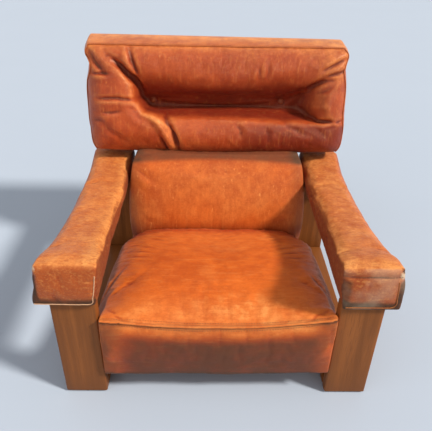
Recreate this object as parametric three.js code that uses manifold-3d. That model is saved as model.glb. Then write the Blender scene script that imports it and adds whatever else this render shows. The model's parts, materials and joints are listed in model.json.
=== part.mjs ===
// A low club chair: two oak plank side frames with leather-wrapped arms, a sprung seat frame and
// a leaning back frame between them, and three leather cushions on top.
// Millimetres, +Z up. The sitter looks along -Y and -X is the left of the chair seen from the front.
// Y and Z are counted from the front face and the floor line of the front legs; the finished group
// is then moved so that the chair stands centred over the origin.

import * as THREE from "three";
import { mergeVertices } from "three/addons/utils/BufferGeometryUtils.js";
import Module from "manifold-3d";

const wasm = await Module();
wasm.setup();

// Driving dimensions -------------------------------------------------------------------------

const GAP = 0.3; // clearance between pieces that touch
const SIDES = [{ name: "left", sign: -1 }, { name: "right", sign: 1 }];

const LEG = { inner: 302, outer: 415, thick: 30, corner: 6, top: 328, rearY: 668 };
const GLIDE = { radius: 11, height: 3 };
const RUNNER = { height: 28, corner: 4 };
const LEG_BLOCK = { width: 40, depth: 74, bottom: 64, top: 180 };

const ARM = {
  inner: 303, outer: 440, front: -13, back: 745, bottom: 329,
  frontTop: 443, slope: -0.254, dip: 0.000251, stations: 10, nose: 18, leather: 3,
};
const ARM_BOARD = { margin: 9, thick: 18, rise: 2 };

const RAIL = { inner: 268, bottom: 80, top: 122, front: 36, back: 722, thick: 24 };
const SEAT_STRAP = { count: 6, width: 52, thick: 3.4, firstY: 95, pitch: 92, overlap: 28 };
const SEAT = {
  half: 299, front: -12, back: 508, frontTop: 272, backTop: 207, crown: 28,
  bottom: 84, lip: 34, stations: 12,
};
const WELT = { radius: 3, half: 296 };
const CORNER_BLOCK = { leg: 60, thick: 26 };

const LEAN = THREE.MathUtils.degToRad(14);
const BACK_ORIGIN = { y: 700, z: 210 }; // a point of the plane that the back cushions lean on
const BOARD = { thick: 6, half: 403, bottom: 236, top: 565 };
const POST = { inner: 239.4, width: 28, depth: 28, bottom: -140 };
const BACK_RAIL = { height: 32 };
const BATTEN = { width: 28 };
const REAR_RAIL = { bottom: -84, top: -40 };
const BACK_STRAP = { count: 4, width: 52, thick: 3.4, firstZ: -4, pitch: 58 };
const OUTER_BACK = { thick: 3, lowerHalf: 262, bottom: -120 };
const LUMBAR = {
  half: 281, backBottom: -84, backTop: 210, topDepth: 140, topFront: 212,
  shoulderDepth: 153, shoulderZ: 196, frontDepth: 178, frontZ: -50, toeDepth: 163, toeZ: -122,
};
const HEAD = {
  half: 430, backBottom: 232, backTop: 583, topDepth: 101, topFront: 551,
  bottomDepth: 112, bottomFront: 216,
};
const VALLEY = { z: 384, halfHeight: 58, floorHalf: 26, depth: 36, half: 290 };
const BUTTON = { x: 222, z: 373, radius: 11, thick: 5 };

const COVER = { leather: 3, foamGap: 5 };
const ZIP = { height: 8, thick: 2, play: 1 };
const BOLT = { radius: 4, headRadius: 8, headHeight: 5, holeRadius: 4.5, bite: 32, z: 101 };
const BOLT_Y = { front: 88, rear: 690 };

// Finishes ----------------------------------------------------------------------------------

const finish = (color, roughness, metalness = 0) =>
  () => new THREE.MeshStandardMaterial({ color, roughness, metalness });

const oak = finish("#8a5a34", 0.55);
const beech = finish("#b98d5e", 0.7);
const leather = finish("#a4522c", 0.45);
const foam = finish("#d9c48a", 0.95);
const webbing = finish("#4a3b30", 0.9);
const plastic = finish("#2b2622", 0.6);
const steel = finish("#9a9a98", 0.4, 1);
const brass = finish("#8f7440", 0.4, 1);

// Solid helpers -----------------------------------------------------------------------------

/** Turns a closed BufferGeometry into a manifold-3d solid. */
function toSolid(geometry) {
  const bare = geometry.clone();
  bare.deleteAttribute("normal");
  bare.deleteAttribute("uv");
  const merged = mergeVertices(bare, 1e-4);
  return new wasm.Manifold(new wasm.Mesh({
    numProp: 3,
    vertProperties: new Float32Array(merged.attributes.position.array),
    triVerts: new Uint32Array(merged.index.array),
  }));
}

/** Turns a manifold-3d solid back into a BufferGeometry. */
function toGeometry(solid) {
  const mesh = solid.getMesh();
  const geometry = new THREE.BufferGeometry();
  geometry.setAttribute("position", new THREE.BufferAttribute(mesh.vertProperties, 3));
  geometry.setIndex(new THREE.BufferAttribute(mesh.triVerts, 1));
  geometry.computeVertexNormals();
  return geometry;
}

/** Cuts every tool out of a geometry. */
function cut(geometry, ...tools) {
  return toGeometry(tools.reduce((solid, tool) => solid.subtract(toSolid(tool)), toSolid(geometry)));
}

/** A box from its lowest to its highest corner. */
function block([x0, y0, z0], [x1, y1, z1]) {
  const box = new THREE.BoxGeometry(x1 - x0, y1 - y0, z1 - z0);
  return box.translate((x0 + x1) / 2, (y0 + y1) / 2, (z0 + z1) / 2);
}

/** Mirrors an X range to the wanted side, lowest first. */
function span(side, inner, outer) {
  return side.sign > 0 ? [inner, outer] : [-outer, -inner];
}

/** A shape whose corners are rounded with short curves. */
function roundedShape(points, radius) {
  const shape = new THREE.Shape();
  points.forEach((corner, index) => {
    const before = points[(index + points.length - 1) % points.length];
    const after = points[(index + 1) % points.length];
    const reach = (other) => Math.min(radius, corner.distanceTo(other) / 2.2);
    const enter = corner.clone().lerp(before, reach(before) / corner.distanceTo(before));
    const leave = corner.clone().lerp(after, reach(after) / corner.distanceTo(after));
    if (index === 0) {
      shape.moveTo(enter.x, enter.y);
    } else {
      shape.lineTo(enter.x, enter.y);
    }
    shape.quadraticCurveTo(corner.x, corner.y, leave.x, leave.y);
  });
  return shape;
}

/** Moves every corner of a counter-clockwise outline inwards, so that its edges move by depth. */
function inset(points, depth) {
  const inward = (from, to) => {
    const along = to.clone().sub(from).normalize();
    return new THREE.Vector2(-along.y, along.x);
  };
  return points.map((corner, index) => {
    const before = inward(points[(index + points.length - 1) % points.length], corner);
    const after = inward(corner, points[(index + 1) % points.length]);
    const mitre = before.clone().add(after).divideScalar(1 + before.dot(after));
    return corner.clone().addScaledVector(mitre, depth);
  });
}

/** Extrudes an outline drawn in (Y, Z) across X, from x0 to x1. */
function sideSlab(points, x0, x1, radius = 0.01, curveSegments = 1) {
  const shape = roundedShape(points, radius);
  const slab = new THREE.ExtrudeGeometry(shape, { depth: x1 - x0, bevelEnabled: false, curveSegments });
  const axes = new THREE.Matrix4().makeBasis(
    new THREE.Vector3(0, 1, 0),
    new THREE.Vector3(0, 0, 1),
    new THREE.Vector3(1, 0, 0),
  );
  return slab.applyMatrix4(axes).translate(x0, 0, 0);
}

/** Extrudes a rounded rectangle upwards: a plank standing on its end. */
function plank([x0, x1], [y0, y1], [z0, z1], corner) {
  const outline = [[x0, y0], [x1, y0], [x1, y1], [x0, y1]].map(([x, y]) => new THREE.Vector2(x, y));
  const shape = roundedShape(outline, corner);
  const solid = new THREE.ExtrudeGeometry(shape, { depth: z1 - z0, bevelEnabled: false, curveSegments: 3 });
  return solid.translate(0, 0, z0);
}

/** A round bar along X. */
function barX(radius, x0, x1, y, z, sides = 16) {
  const bar = new THREE.CylinderGeometry(radius, radius, x1 - x0, sides);
  return bar.rotateZ(Math.PI / 2).translate((x0 + x1) / 2, y, z);
}

/** A named mesh of its own finish, added to a group. */
function add(group, name, geometry, makeFinish) {
  const mesh = new THREE.Mesh(geometry, makeFinish());
  mesh.name = name;
  group.add(mesh);
}

// Side frames -------------------------------------------------------------------------------

/** Bolt positions: each passes the side rail and bites into the piece outside it. */
const boltHoles = (side) => Object.values(BOLT_Y).map((y) => {
  const [x0, x1] = span(side, POST.inner - 1, LEG.inner + BOLT.bite);
  return barX(BOLT.holeRadius, x0, x1, y, BOLT.z);
});

function addLegs(group, side) {
  const across = span(side, LEG.inner, LEG.outer);
  const rows = [["front", 0], ["rear", LEG.rearY]];
  for (const [row, y] of rows) {
    const upright = [GLIDE.height + GAP, LEG.top];
    const post = plank(across, [y, y + LEG.thick], upright, LEG.corner);
    add(group, `${row}_leg_${side.name}`, cut(post, ...boltHoles(side)), oak);

    const glide = new THREE.CylinderGeometry(GLIDE.radius, GLIDE.radius, GLIDE.height, 20);
    glide.rotateX(Math.PI / 2);
    const middle = (LEG.inner + LEG.outer) / 2;
    glide.translate(side.sign * middle, y + LEG.thick / 2, GLIDE.height / 2);
    add(group, `${row}_glide_${side.name}`, glide, plastic);
  }
}

function addRunner(group, side) {
  const along = [LEG.thick + GAP, LEG.rearY - GAP];
  const upright = [GLIDE.height + GAP, RUNNER.height];
  add(group, `floor_runner_${side.name}`,
    plank(span(side, LEG.inner, LEG.outer), along, upright, RUNNER.corner), oak);

  const blockAlong = [LEG.thick + GAP, LEG.thick + LEG_BLOCK.depth];
  const [x0, x1] = span(side, LEG.inner, LEG.inner + LEG_BLOCK.width);
  const support = block([x0, blockAlong[0], LEG_BLOCK.bottom], [x1, blockAlong[1], LEG_BLOCK.top]);
  add(group, `leg_block_${side.name}`, cut(support, ...boltHoles(side)), beech);
}

/** Height of the arm's saddle-shaped top at a distance behind the front legs' face. */
const armTop = (y) => ARM.frontTop + ARM.slope * y + ARM.dip * y * y;

/** The arm's side outline: flat below, saddle-shaped above. */
function armOutline() {
  const top = Array.from({ length: ARM.stations + 1 }, (_, index) => {
    const y = THREE.MathUtils.lerp(ARM.back, ARM.front + ARM.nose / 2, index / ARM.stations);
    return new THREE.Vector2(y, armTop(y));
  });
  const nose = new THREE.Vector2(ARM.front, armTop(ARM.front) - ARM.nose);
  const foot = new THREE.Vector2(ARM.front, ARM.bottom);
  const heel = new THREE.Vector2(ARM.back, ARM.bottom);
  return [foot, heel, ...top, nose];
}

function addArm(group, side) {
  const outline = armOutline();
  const boardTop = ARM.bottom + ARM_BOARD.rise + ARM_BOARD.thick;
  const boardX = span(side, ARM.inner + ARM_BOARD.margin, ARM.outer - ARM_BOARD.margin);
  const boardY = [ARM.front + ARM_BOARD.margin, ARM.back - ARM_BOARD.margin];
  add(group, `arm_board_${side.name}`,
    block([boardX[0], boardY[0], ARM.bottom + ARM_BOARD.rise], [boardX[1], boardY[1], boardTop]), oak);

  const shellX = span(side, ARM.inner, ARM.outer);
  const hollowX = span(side, ARM.inner + ARM.leather, ARM.outer - ARM.leather);
  const hollow = sideSlab(inset(outline, ARM.leather), ...hollowX);
  const mouth = block(
    [boardX[0] - GAP, boardY[0] - GAP, ARM.bottom - 1],
    [boardX[1] + GAP, boardY[1] + GAP, boardTop],
  );
  add(group, `arm_cover_${side.name}`, cut(sideSlab(outline, ...shellX), hollow, mouth), leather);

  const foamX = span(side, ARM.inner + COVER.foamGap, ARM.outer - COVER.foamGap);
  const aboveBoard = block(
    [foamX[0] - 1, ARM.front - 1, ARM.bottom - 1],
    [foamX[1] + 1, ARM.back + 1, boardTop + GAP],
  );
  add(group, `arm_foam_${side.name}`,
    cut(sideSlab(inset(outline, COVER.foamGap), ...foamX), aboveBoard), foam);
}

// Seat --------------------------------------------------------------------------------------

function addBolts(group, side) {
  const heads = { front: RAIL.inner, rear: POST.inner };
  for (const [row, y] of Object.entries(BOLT_Y)) {
    const start = heads[row] - GAP;
    const length = LEG.inner + BOLT.bite - 1 - start;
    const profile = [
      [0, -BOLT.headHeight], [BOLT.headRadius, -BOLT.headHeight], [BOLT.headRadius, 0],
      [BOLT.radius, 0], [BOLT.radius, length], [0, length],
    ].map(([radius, along]) => new THREE.Vector2(radius, along));
    const bolt = new THREE.LatheGeometry(profile, 16);
    bolt.rotateZ(-side.sign * Math.PI / 2).translate(side.sign * start, y, BOLT.z);
    add(group, `frame_bolt_${row}_${side.name}`, bolt, steel);
  }
}

function addSeatFrame(group) {
  for (const side of SIDES) {
    const [x0, x1] = span(side, RAIL.inner, LEG.inner - GAP);
    const rail = block([x0, RAIL.front, RAIL.bottom], [x1, RAIL.back, RAIL.top]);
    add(group, `side_rail_${side.name}`, cut(rail, ...boltHoles(side)), beech);
    addBolts(group, side);

    const cornerX = RAIL.inner - GAP;
    const cornerY = RAIL.front + RAIL.thick + GAP;
    const triangle = new THREE.Shape([
      new THREE.Vector2(cornerX, cornerY),
      new THREE.Vector2(cornerX - CORNER_BLOCK.leg, cornerY),
      new THREE.Vector2(cornerX, cornerY + CORNER_BLOCK.leg),
    ]);
    const wedge = new THREE.ExtrudeGeometry(triangle, { depth: CORNER_BLOCK.thick, bevelEnabled: false });
    wedge.translate(0, 0, RAIL.top - CORNER_BLOCK.thick);
    const mirrored = side.sign > 0 ? wedge : toGeometry(toSolid(wedge).mirror([1, 0, 0]));
    add(group, `corner_block_${side.name}`, cut(mirrored, boltHeadRoom(side)), beech);
  }
  const half = RAIL.inner - GAP;
  add(group, "front_rail", block(
    [-half, RAIL.front, RAIL.bottom],
    [half, RAIL.front + RAIL.thick, RAIL.top],
  ), beech);

  const reach = RAIL.inner + SEAT_STRAP.overlap;
  for (let index = 0; index < SEAT_STRAP.count; index += 1) {
    const y = SEAT_STRAP.firstY + index * SEAT_STRAP.pitch;
    add(group, `seat_strap_${index + 1}`, block(
      [-reach, y, RAIL.top + GAP],
      [reach, y + SEAT_STRAP.width, RAIL.top + GAP + SEAT_STRAP.thick],
    ), webbing);
  }
}

/** Room for the front bolt's head in the corner block. */
function boltHeadRoom(side) {
  const [x0, x1] = span(side, RAIL.inner - 3 * BOLT.headHeight, RAIL.inner);
  return barX(BOLT.headRadius + 2, x0, x1, BOLT_Y.front, BOLT.z);
}

/** The seat cushion's side outline: a front lip that hides the rail, and a crowned top. */
function seatOutline() {
  const top = Array.from({ length: SEAT.stations + 1 }, (_, index) => {
    const along = 1 - index / SEAT.stations;
    const crown = 4 * SEAT.crown * along * (1 - along);
    const y = THREE.MathUtils.lerp(SEAT.front, SEAT.back, along);
    return new THREE.Vector2(y, THREE.MathUtils.lerp(SEAT.frontTop, SEAT.backTop, along) + crown);
  });
  const underside = RAIL.top + SEAT_STRAP.thick + 2 * GAP;
  return [
    new THREE.Vector2(SEAT.front, SEAT.bottom),
    new THREE.Vector2(SEAT.lip, SEAT.bottom),
    new THREE.Vector2(SEAT.lip, underside),
    new THREE.Vector2(SEAT.back - 8, underside),
    ...top,
  ];
}

/**
 * A leather cover with its foam core and zip. The zip closes a slot in the cover's rear wall:
 * slotY is where that wall stands and slotZ how high the slot is.
 */
function addCushion(group, name, { outline, half, radius, slotY, slotZ, valley }) {
  const slotHalf = half * 0.75;
  const skin = COVER.leather;
  const slot = block(
    [-slotHalf, slotY - 2 * skin, slotZ - ZIP.height / 2],
    [slotHalf, slotY + 2 * skin, slotZ + ZIP.height / 2],
  );
  const dents = (grow) => (valley ? [valley(grow)] : []);
  const outside = cut(sideSlab(outline, -half, half, radius, 3), ...dents(0));
  const inside = cut(
    sideSlab(inset(outline, skin), -half + skin, half - skin, radius, 3),
    ...dents(skin),
  );
  add(group, `${name}_cover`, cut(outside, inside, slot), leather);

  const margin = COVER.foamGap;
  add(group, `${name}_foam`, cut(
    sideSlab(inset(outline, margin), -half + margin, half - margin, radius, 3),
    ...dents(margin),
  ), foam);

  add(group, `${name}_zip`, block(
    [-slotHalf + ZIP.play, slotY - ZIP.thick, slotZ - ZIP.height / 2 + ZIP.play],
    [slotHalf - ZIP.play, slotY - GAP, slotZ + ZIP.height / 2 - ZIP.play],
  ), brass);
}

function addSeatCushion(group) {
  addCushion(group, "seat", {
    outline: seatOutline(), half: SEAT.half, radius: 10, slotY: SEAT.back - 4, slotZ: 166,
  });
  add(group, "seat_welt",
    barX(WELT.radius, -WELT.half, WELT.half, SEAT.front, SEAT.frontTop, 10), leather);
}

// Back, drawn upright in its own group and then leaned ---------------------------------------

function addBackFrame(group) {
  const front = BOARD.thick + GAP;
  const behind = front + POST.depth;
  const postOuter = POST.inner + POST.width;
  const topRail = [BOARD.top - BACK_RAIL.height, BOARD.top];
  const railLow = [BOARD.bottom, BOARD.bottom + BACK_RAIL.height];
  const worldToBack = new THREE.Matrix4().makeRotationX(LEAN);
  const toBack = (tool) => tool.translate(0, -BACK_ORIGIN.y, -BACK_ORIGIN.z).applyMatrix4(worldToBack);

  for (const side of SIDES) {
    const [x0, x1] = span(side, POST.inner, postOuter);
    const post = block([x0, front, POST.bottom], [x1, behind, topRail[0] - GAP]);
    const holes = boltHoles(side).map(toBack);
    add(group, `back_post_${side.name}`, cut(post, ...holes), beech);

    const wing = span(side, postOuter + GAP, BOARD.half - BATTEN.width - GAP);
    add(group, `wing_rail_${side.name}`,
      block([wing[0], front, railLow[0]], [wing[1], behind, railLow[1]]), beech);

    const end = span(side, BOARD.half - BATTEN.width, BOARD.half);
    add(group, `end_batten_${side.name}`,
      block([end[0], front, railLow[0]], [end[1], behind, topRail[0] - GAP]), beech);
  }

  const between = POST.inner - GAP;
  add(group, "back_rear_rail",
    block([-between, front, REAR_RAIL.bottom], [between, behind, REAR_RAIL.top]), beech);
  add(group, "back_mid_rail",
    block([-between, front, railLow[0]], [between, behind, railLow[1]]), beech);
  add(group, "back_top_rail",
    block([-BOARD.half, front, topRail[0]], [BOARD.half, behind, topRail[1]]), beech);
  add(group, "head_board",
    block([-BOARD.half, 0, BOARD.bottom], [BOARD.half, BOARD.thick, BOARD.top]), beech);

  for (let index = 0; index < BACK_STRAP.count; index += 1) {
    const z = BACK_STRAP.firstZ + index * BACK_STRAP.pitch;
    add(group, `back_strap_${index + 1}`, block(
      [-postOuter, BOARD.thick - BACK_STRAP.thick, z],
      [postOuter, BOARD.thick, z + BACK_STRAP.width],
    ), webbing);
  }
  addOuterBack(group, behind + GAP);
}

/** The leather panel that closes the back: wide behind the head cushion, narrow between the arms. */
function addOuterBack(group, y) {
  const { thick, lowerHalf, bottom } = OUTER_BACK;
  const outline = [
    [-lowerHalf, bottom], [lowerHalf, bottom], [lowerHalf, BOARD.bottom], [BOARD.half, BOARD.bottom],
    [BOARD.half, BOARD.top], [-BOARD.half, BOARD.top], [-BOARD.half, BOARD.bottom],
    [-lowerHalf, BOARD.bottom],
  ].map(([x, z]) => new THREE.Vector2(x, z));
  const panel = new THREE.ExtrudeGeometry(roundedShape(outline, 8), {
    depth: thick, bevelEnabled: false, curveSegments: 3,
  });
  panel.rotateX(Math.PI / 2).translate(0, y + thick, 0);
  add(group, "outer_back", panel, leather);
}

/** The tufted valley across the head cushion's face, grown outwards by the wanted amount. */
function valleyTool(grow) {
  const face = -HEAD.bottomDepth - 20;
  const mouth = VALLEY.halfHeight + grow;
  const outline = [
    [face, VALLEY.z - mouth], [-HEAD.topDepth, VALLEY.z - mouth],
    [-HEAD.bottomDepth + VALLEY.depth + grow, VALLEY.z - VALLEY.floorHalf - grow],
    [-HEAD.bottomDepth + VALLEY.depth + grow, VALLEY.z + VALLEY.floorHalf + grow],
    [-HEAD.topDepth, VALLEY.z + mouth], [face, VALLEY.z + mouth],
  ].map(([y, z]) => new THREE.Vector2(y, z));
  return sideSlab(outline, -VALLEY.half - grow, VALLEY.half + grow);
}

function addBackCushions(group) {
  const lumbar = [
    [-GAP, LUMBAR.backBottom], [-GAP, LUMBAR.backTop], [-LUMBAR.topDepth, LUMBAR.topFront],
    [-LUMBAR.shoulderDepth, LUMBAR.shoulderZ], [-LUMBAR.frontDepth, LUMBAR.frontZ],
    [-LUMBAR.toeDepth, LUMBAR.toeZ],
  ].map(([y, z]) => new THREE.Vector2(y, z));
  addCushion(group, "lumbar", { outline: lumbar, half: LUMBAR.half, radius: 14, slotY: -GAP, slotZ: 46 });

  const head = [
    [-GAP, HEAD.backBottom], [-GAP, HEAD.backTop],
    [-HEAD.topDepth, HEAD.topFront], [-HEAD.bottomDepth, HEAD.bottomFront],
  ].map(([y, z]) => new THREE.Vector2(y, z));
  addCushion(group, "head", {
    outline: head, half: HEAD.half, radius: 16, slotY: -GAP, slotZ: BOARD.bottom + 40, valley: valleyTool,
  });

  const floorOfValley = -HEAD.bottomDepth + VALLEY.depth - GAP;
  for (const side of SIDES) {
    const button = new THREE.CylinderGeometry(BUTTON.radius, BUTTON.radius, BUTTON.thick, 20);
    button.translate(side.sign * BUTTON.x, floorOfValley - BUTTON.thick / 2, BUTTON.z);
    add(group, `head_button_${side.name}`, button, leather);
  }
}

// Assembly ----------------------------------------------------------------------------------

const chair = new THREE.Group();
for (const side of SIDES) {
  addLegs(chair, side);
  addRunner(chair, side);
  addArm(chair, side);
}
addSeatFrame(chair);
addSeatCushion(chair);

const back = new THREE.Group();
back.position.set(0, BACK_ORIGIN.y, BACK_ORIGIN.z);
back.rotation.x = -LEAN;
addBackFrame(back);
addBackCushions(back);
chair.add(back);

chair.updateMatrixWorld(true);
const bounds = new THREE.Box3().setFromObject(chair, true);
chair.position.set(0, -(bounds.min.y + bounds.max.y) / 2, -bounds.min.z);

export default chair;
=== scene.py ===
"""A worn club chair: oak plank side frames, leather-wrapped arms and three loose leather cushions.

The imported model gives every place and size. Each sub-assembly is a class that takes its places
from the model's nodes, shapes its pieces and dresses them in its own finishes.
"""

import json
import logging
import math
from dataclasses import dataclass
from enum import Enum
from typing import Sequence

import bmesh
import bpy
import numpy as np
from mathutils import Matrix, Vector, noise
from mathutils.bvhtree import BVHTree

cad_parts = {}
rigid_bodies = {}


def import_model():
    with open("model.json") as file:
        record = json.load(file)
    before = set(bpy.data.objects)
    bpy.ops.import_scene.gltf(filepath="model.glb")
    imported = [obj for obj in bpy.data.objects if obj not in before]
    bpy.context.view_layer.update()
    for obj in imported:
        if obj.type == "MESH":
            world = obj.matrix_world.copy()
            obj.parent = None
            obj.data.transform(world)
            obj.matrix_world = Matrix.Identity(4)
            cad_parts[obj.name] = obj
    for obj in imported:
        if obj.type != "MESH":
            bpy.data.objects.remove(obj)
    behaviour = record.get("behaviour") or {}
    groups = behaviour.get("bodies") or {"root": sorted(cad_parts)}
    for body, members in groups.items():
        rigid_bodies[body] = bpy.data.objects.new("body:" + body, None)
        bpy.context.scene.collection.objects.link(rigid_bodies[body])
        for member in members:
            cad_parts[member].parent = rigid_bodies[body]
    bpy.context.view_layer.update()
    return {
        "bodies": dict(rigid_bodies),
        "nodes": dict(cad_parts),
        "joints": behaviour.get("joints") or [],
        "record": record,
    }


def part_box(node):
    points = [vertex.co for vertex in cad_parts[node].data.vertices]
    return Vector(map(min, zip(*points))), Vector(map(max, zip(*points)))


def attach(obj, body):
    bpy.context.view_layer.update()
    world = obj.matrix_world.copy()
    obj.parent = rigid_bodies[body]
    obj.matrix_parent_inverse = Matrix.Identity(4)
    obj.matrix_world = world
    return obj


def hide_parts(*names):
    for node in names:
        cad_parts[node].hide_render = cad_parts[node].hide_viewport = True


LOG = logging.getLogger("club_chair")
ROOT = "root"
FAR = 1e9
HAIR = 0.0003

Array = np.ndarray
Points = np.ndarray
Piece = bpy.types.Object
Finish = bpy.types.Material
Colour = tuple[float, float, float]
Path = Sequence[Vector]
Socket = bpy.types.NodeSocket
Value = Socket | float
Paint = Socket | Colour


class Side(Enum):
    """A side of the chair, seen from the front."""

    LEFT = -1
    RIGHT = 1

    @property
    def word(self) -> str:
        """The side's word in node names."""
        return self.name.lower()


class Axis(Enum):
    """The direction that a timber's grain runs in."""

    X = 0
    Y = 1
    Z = 2


class Species(Enum):
    """A kind of timber; the value is its slot in the record."""

    OAK = "oak"
    BEECH = "beech"


# Small numeric tools ------------------------------------------------------------------------


def ramp(low: float, high: float, value: Array) -> Array:
    """Rises smoothly from 0 at low to 1 at high, also where low is above high."""
    t = np.clip((value - low) / (high - low), 0.0, 1.0)
    return t * t * (3.0 - 2.0 * t)


def bell(value: Array, width: float) -> Array:
    """A smooth bump of height 1 round zero."""
    return np.exp(-((value / width) ** 2))


def curve_through(knots: Sequence[tuple[float, float]], value: Array) -> Array:
    """A smooth curve through given knots, level beyond its ends.

    Args:
        knots: Pairs of place and height, in rising order of place.
        value: Where the curve is wanted.

    Returns:
        The curve's height at each value.
    """
    xs = np.array([k[0] for k in knots])
    ys = np.array([k[1] for k in knots])
    slopes = np.gradient(ys, xs)
    slopes[0] = slopes[-1] = 0.0
    t = np.clip(value, xs[0], xs[-1])
    i = np.clip(np.searchsorted(xs, t) - 1, 0, len(xs) - 2)
    gap = xs[i + 1] - xs[i]
    s = (t - xs[i]) / gap
    h00 = (1 + 2 * s) * (1 - s) ** 2
    h01 = s * s * (3 - 2 * s)
    return (
        h00 * ys[i]
        + s * (1 - s) ** 2 * gap * slopes[i]
        + h01 * ys[i + 1]
        + s * s * (s - 1) * gap * slopes[i + 1]
    )


def cloud(points: Points, scale: float, octaves: int = 3, seed: float = 0.0) -> Array:
    """Soft fractal noise of about -1 to 1 at each point.

    Args:
        points: Places in metres.
        scale: Cycles a metre.
        octaves: How many finer layers are added.
        seed: Moves the pattern.

    Returns:
        One value for each point.
    """
    shift = Vector((seed * 7.3, seed * 3.1, seed * 5.7))
    return np.array(
        [noise.fractal(Vector(p) * scale + shift, 1.0, 2.0, octaves) for p in points]
    )


def crinkles(u: Array, v: Array, pitch: float, reach: float, seed: float) -> Array:
    """Irregular fine ridges that run along v, as leather shows where it is squeezed.

    Args:
        u: The coordinate across the ridges.
        v: The coordinate along them.
        pitch: About the distance from one ridge to the next.
        reach: About how long a ridge is.
        seed: Moves the pattern.

    Returns:
        Heights of about -1 to 1.
    """
    pairs = zip(u / pitch, v / reach)
    raw = np.array([noise.noise(Vector((a, b, seed))) for a, b in pairs])
    return 1.0 - 3.0 * np.abs(raw)


def rounded(depths: Points, radii: Points) -> Points:
    """Rounds a box's edges and corners.

    Args:
        depths: Each point's depth below three faces that meet in a corner.
        radii: The rounding along each of the three directions.

    Returns:
        The new depths: points near an edge move onto a quarter round.
    """
    reach = np.clip(radii - depths, 0.0, None) / radii
    largest = reach.max(1, keepdims=True)
    length = np.maximum(np.linalg.norm(reach, axis=1, keepdims=True), 1e-12)
    inside = reach * largest / length * radii
    return np.where(reach > 0, radii - inside, depths)


def path_distance(u: Array, v: Array, path: Sequence[tuple[float, float]]) -> tuple[Array, ...]:
    """Distance of each point to a polyline in the plane, and how far along it that is.

    Args:
        u: First coordinates.
        v: Second coordinates.
        path: The polyline's corners.

    Returns:
        The distance, the share of the length from 0 to 1, and the signed side (left positive).
    """
    corners = np.array(path, float)
    steps = np.diff(corners, axis=0)
    lengths = np.hypot(steps[:, 0], steps[:, 1])
    starts = np.concatenate([[0.0], np.cumsum(lengths)])
    best = np.full(u.shape, FAR)
    along = np.zeros(u.shape)
    side = np.zeros(u.shape)
    for k, (start, step, length) in enumerate(zip(corners[:-1], steps, lengths)):
        du, dv = u - start[0], v - start[1]
        t = np.clip((du * step[0] + dv * step[1]) / length**2, 0.0, 1.0)
        off_u, off_v = du - t * step[0], dv - t * step[1]
        distance = np.hypot(off_u, off_v)
        nearer = distance < best
        best = np.where(nearer, distance, best)
        along = np.where(nearer, (starts[k] + t * length) / starts[-1], along)
        side = np.where(nearer, (step[0] * off_v - step[1] * off_u) / length, side)
    return best, along, side


@dataclass(frozen=True)
class Fold:
    """A crease in leather, with a soft ridge pushed up on one side of it.

    Attributes:
        path: The crease's line on the panel.
        depth: How deep it is pressed in.
        width: Its half-width.
        ridge: The height of the ridge beside it; positive lies left of the path's direction.
    """

    path: tuple[tuple[float, float], ...]
    depth: float
    width: float
    ridge: float = 0.0

    def relief(self, u: Array, v: Array) -> Array:
        """The height that the fold adds at each point of the panel.

        Args:
            u: The points' first coordinates on the panel.
            v: Their second coordinates.

        Returns:
            One height for each point.
        """
        distance, along, side = path_distance(u, v, self.path)
        fade = np.clip(np.sin(np.pi * np.clip(along, 0.03, 0.97)), 0.0, 1.0) ** 0.6
        crease = -self.depth * bell(distance, self.width)
        spot = np.abs(self.ridge) * bell(
            side - np.sign(self.ridge) * 2.6 * self.width, 2.1 * self.width
        )
        near = bell(distance, 5.0 * self.width)
        return (crease + spot * near) * fade


# Blender mesh tools -------------------------------------------------------------------------


def deselect() -> None:
    """Leaves nothing selected in object mode."""
    for thing in bpy.context.view_layer.objects:
        thing.select_set(False)


def activate(piece: Piece) -> None:
    """Selects only this piece and makes it the active one.

    Args:
        piece: The piece to work on.
    """
    deselect()
    piece.select_set(True)
    bpy.context.view_layer.objects.active = piece


def get_points(piece: Piece) -> Points:
    """The piece's vertices as an array.

    Args:
        piece: The piece to read.

    Returns:
        One row of three numbers for each vertex.
    """
    flat = np.empty(len(piece.data.vertices) * 3, np.float32)
    piece.data.vertices.foreach_get("co", flat)
    return flat.reshape(-1, 3).astype(float)


def set_points(piece: Piece, points: Points) -> None:
    """Moves the piece's vertices."""
    piece.data.vertices.foreach_set("co", points.astype(np.float32).ravel())
    piece.data.update()


def get_normals(piece: Piece) -> Points:
    """The piece's vertex normals as an array.

    Args:
        piece: The piece to read.

    Returns:
        One row of three numbers for each vertex.
    """
    flat = np.empty(len(piece.data.vertices) * 3, np.float32)
    piece.data.vertex_normals.foreach_get("vector", flat)
    return flat.reshape(-1, 3).astype(float)


def paint(piece: Piece, name: str, values: Array) -> None:
    """Stores one number per vertex, which the finishes read by name."""
    layer = piece.data.attributes.get(name) or piece.data.attributes.new(name, "FLOAT", "POINT")
    layer.data.foreach_set("value", np.clip(values, 0.0, 1.0).astype(np.float32))


def apply_modifier(piece: Piece, name: str) -> None:
    """Applies one modifier by name."""
    activate(piece)
    bpy.ops.object.modifier_apply(modifier=name)


def subdivide_once(piece: Piece) -> None:
    """One level of subdivision surface, applied.

    Args:
        piece: The piece to refine.
    """
    modifier = piece.modifiers.new("finer", "SUBSURF")
    modifier.levels = modifier.render_levels = 1
    apply_modifier(piece, "finer")


def shade_smooth(piece: Piece, degrees: float | None = None) -> None:
    """Smooth shading, with edges above an angle kept sharp where one is given.

    Args:
        piece: The piece to shade.
        degrees: The angle, or None for no sharp edges.
    """
    activate(piece)
    if degrees is None:
        bpy.ops.object.shade_smooth()
    else:
        bpy.ops.object.shade_smooth_by_angle(angle=math.radians(degrees))


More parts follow.
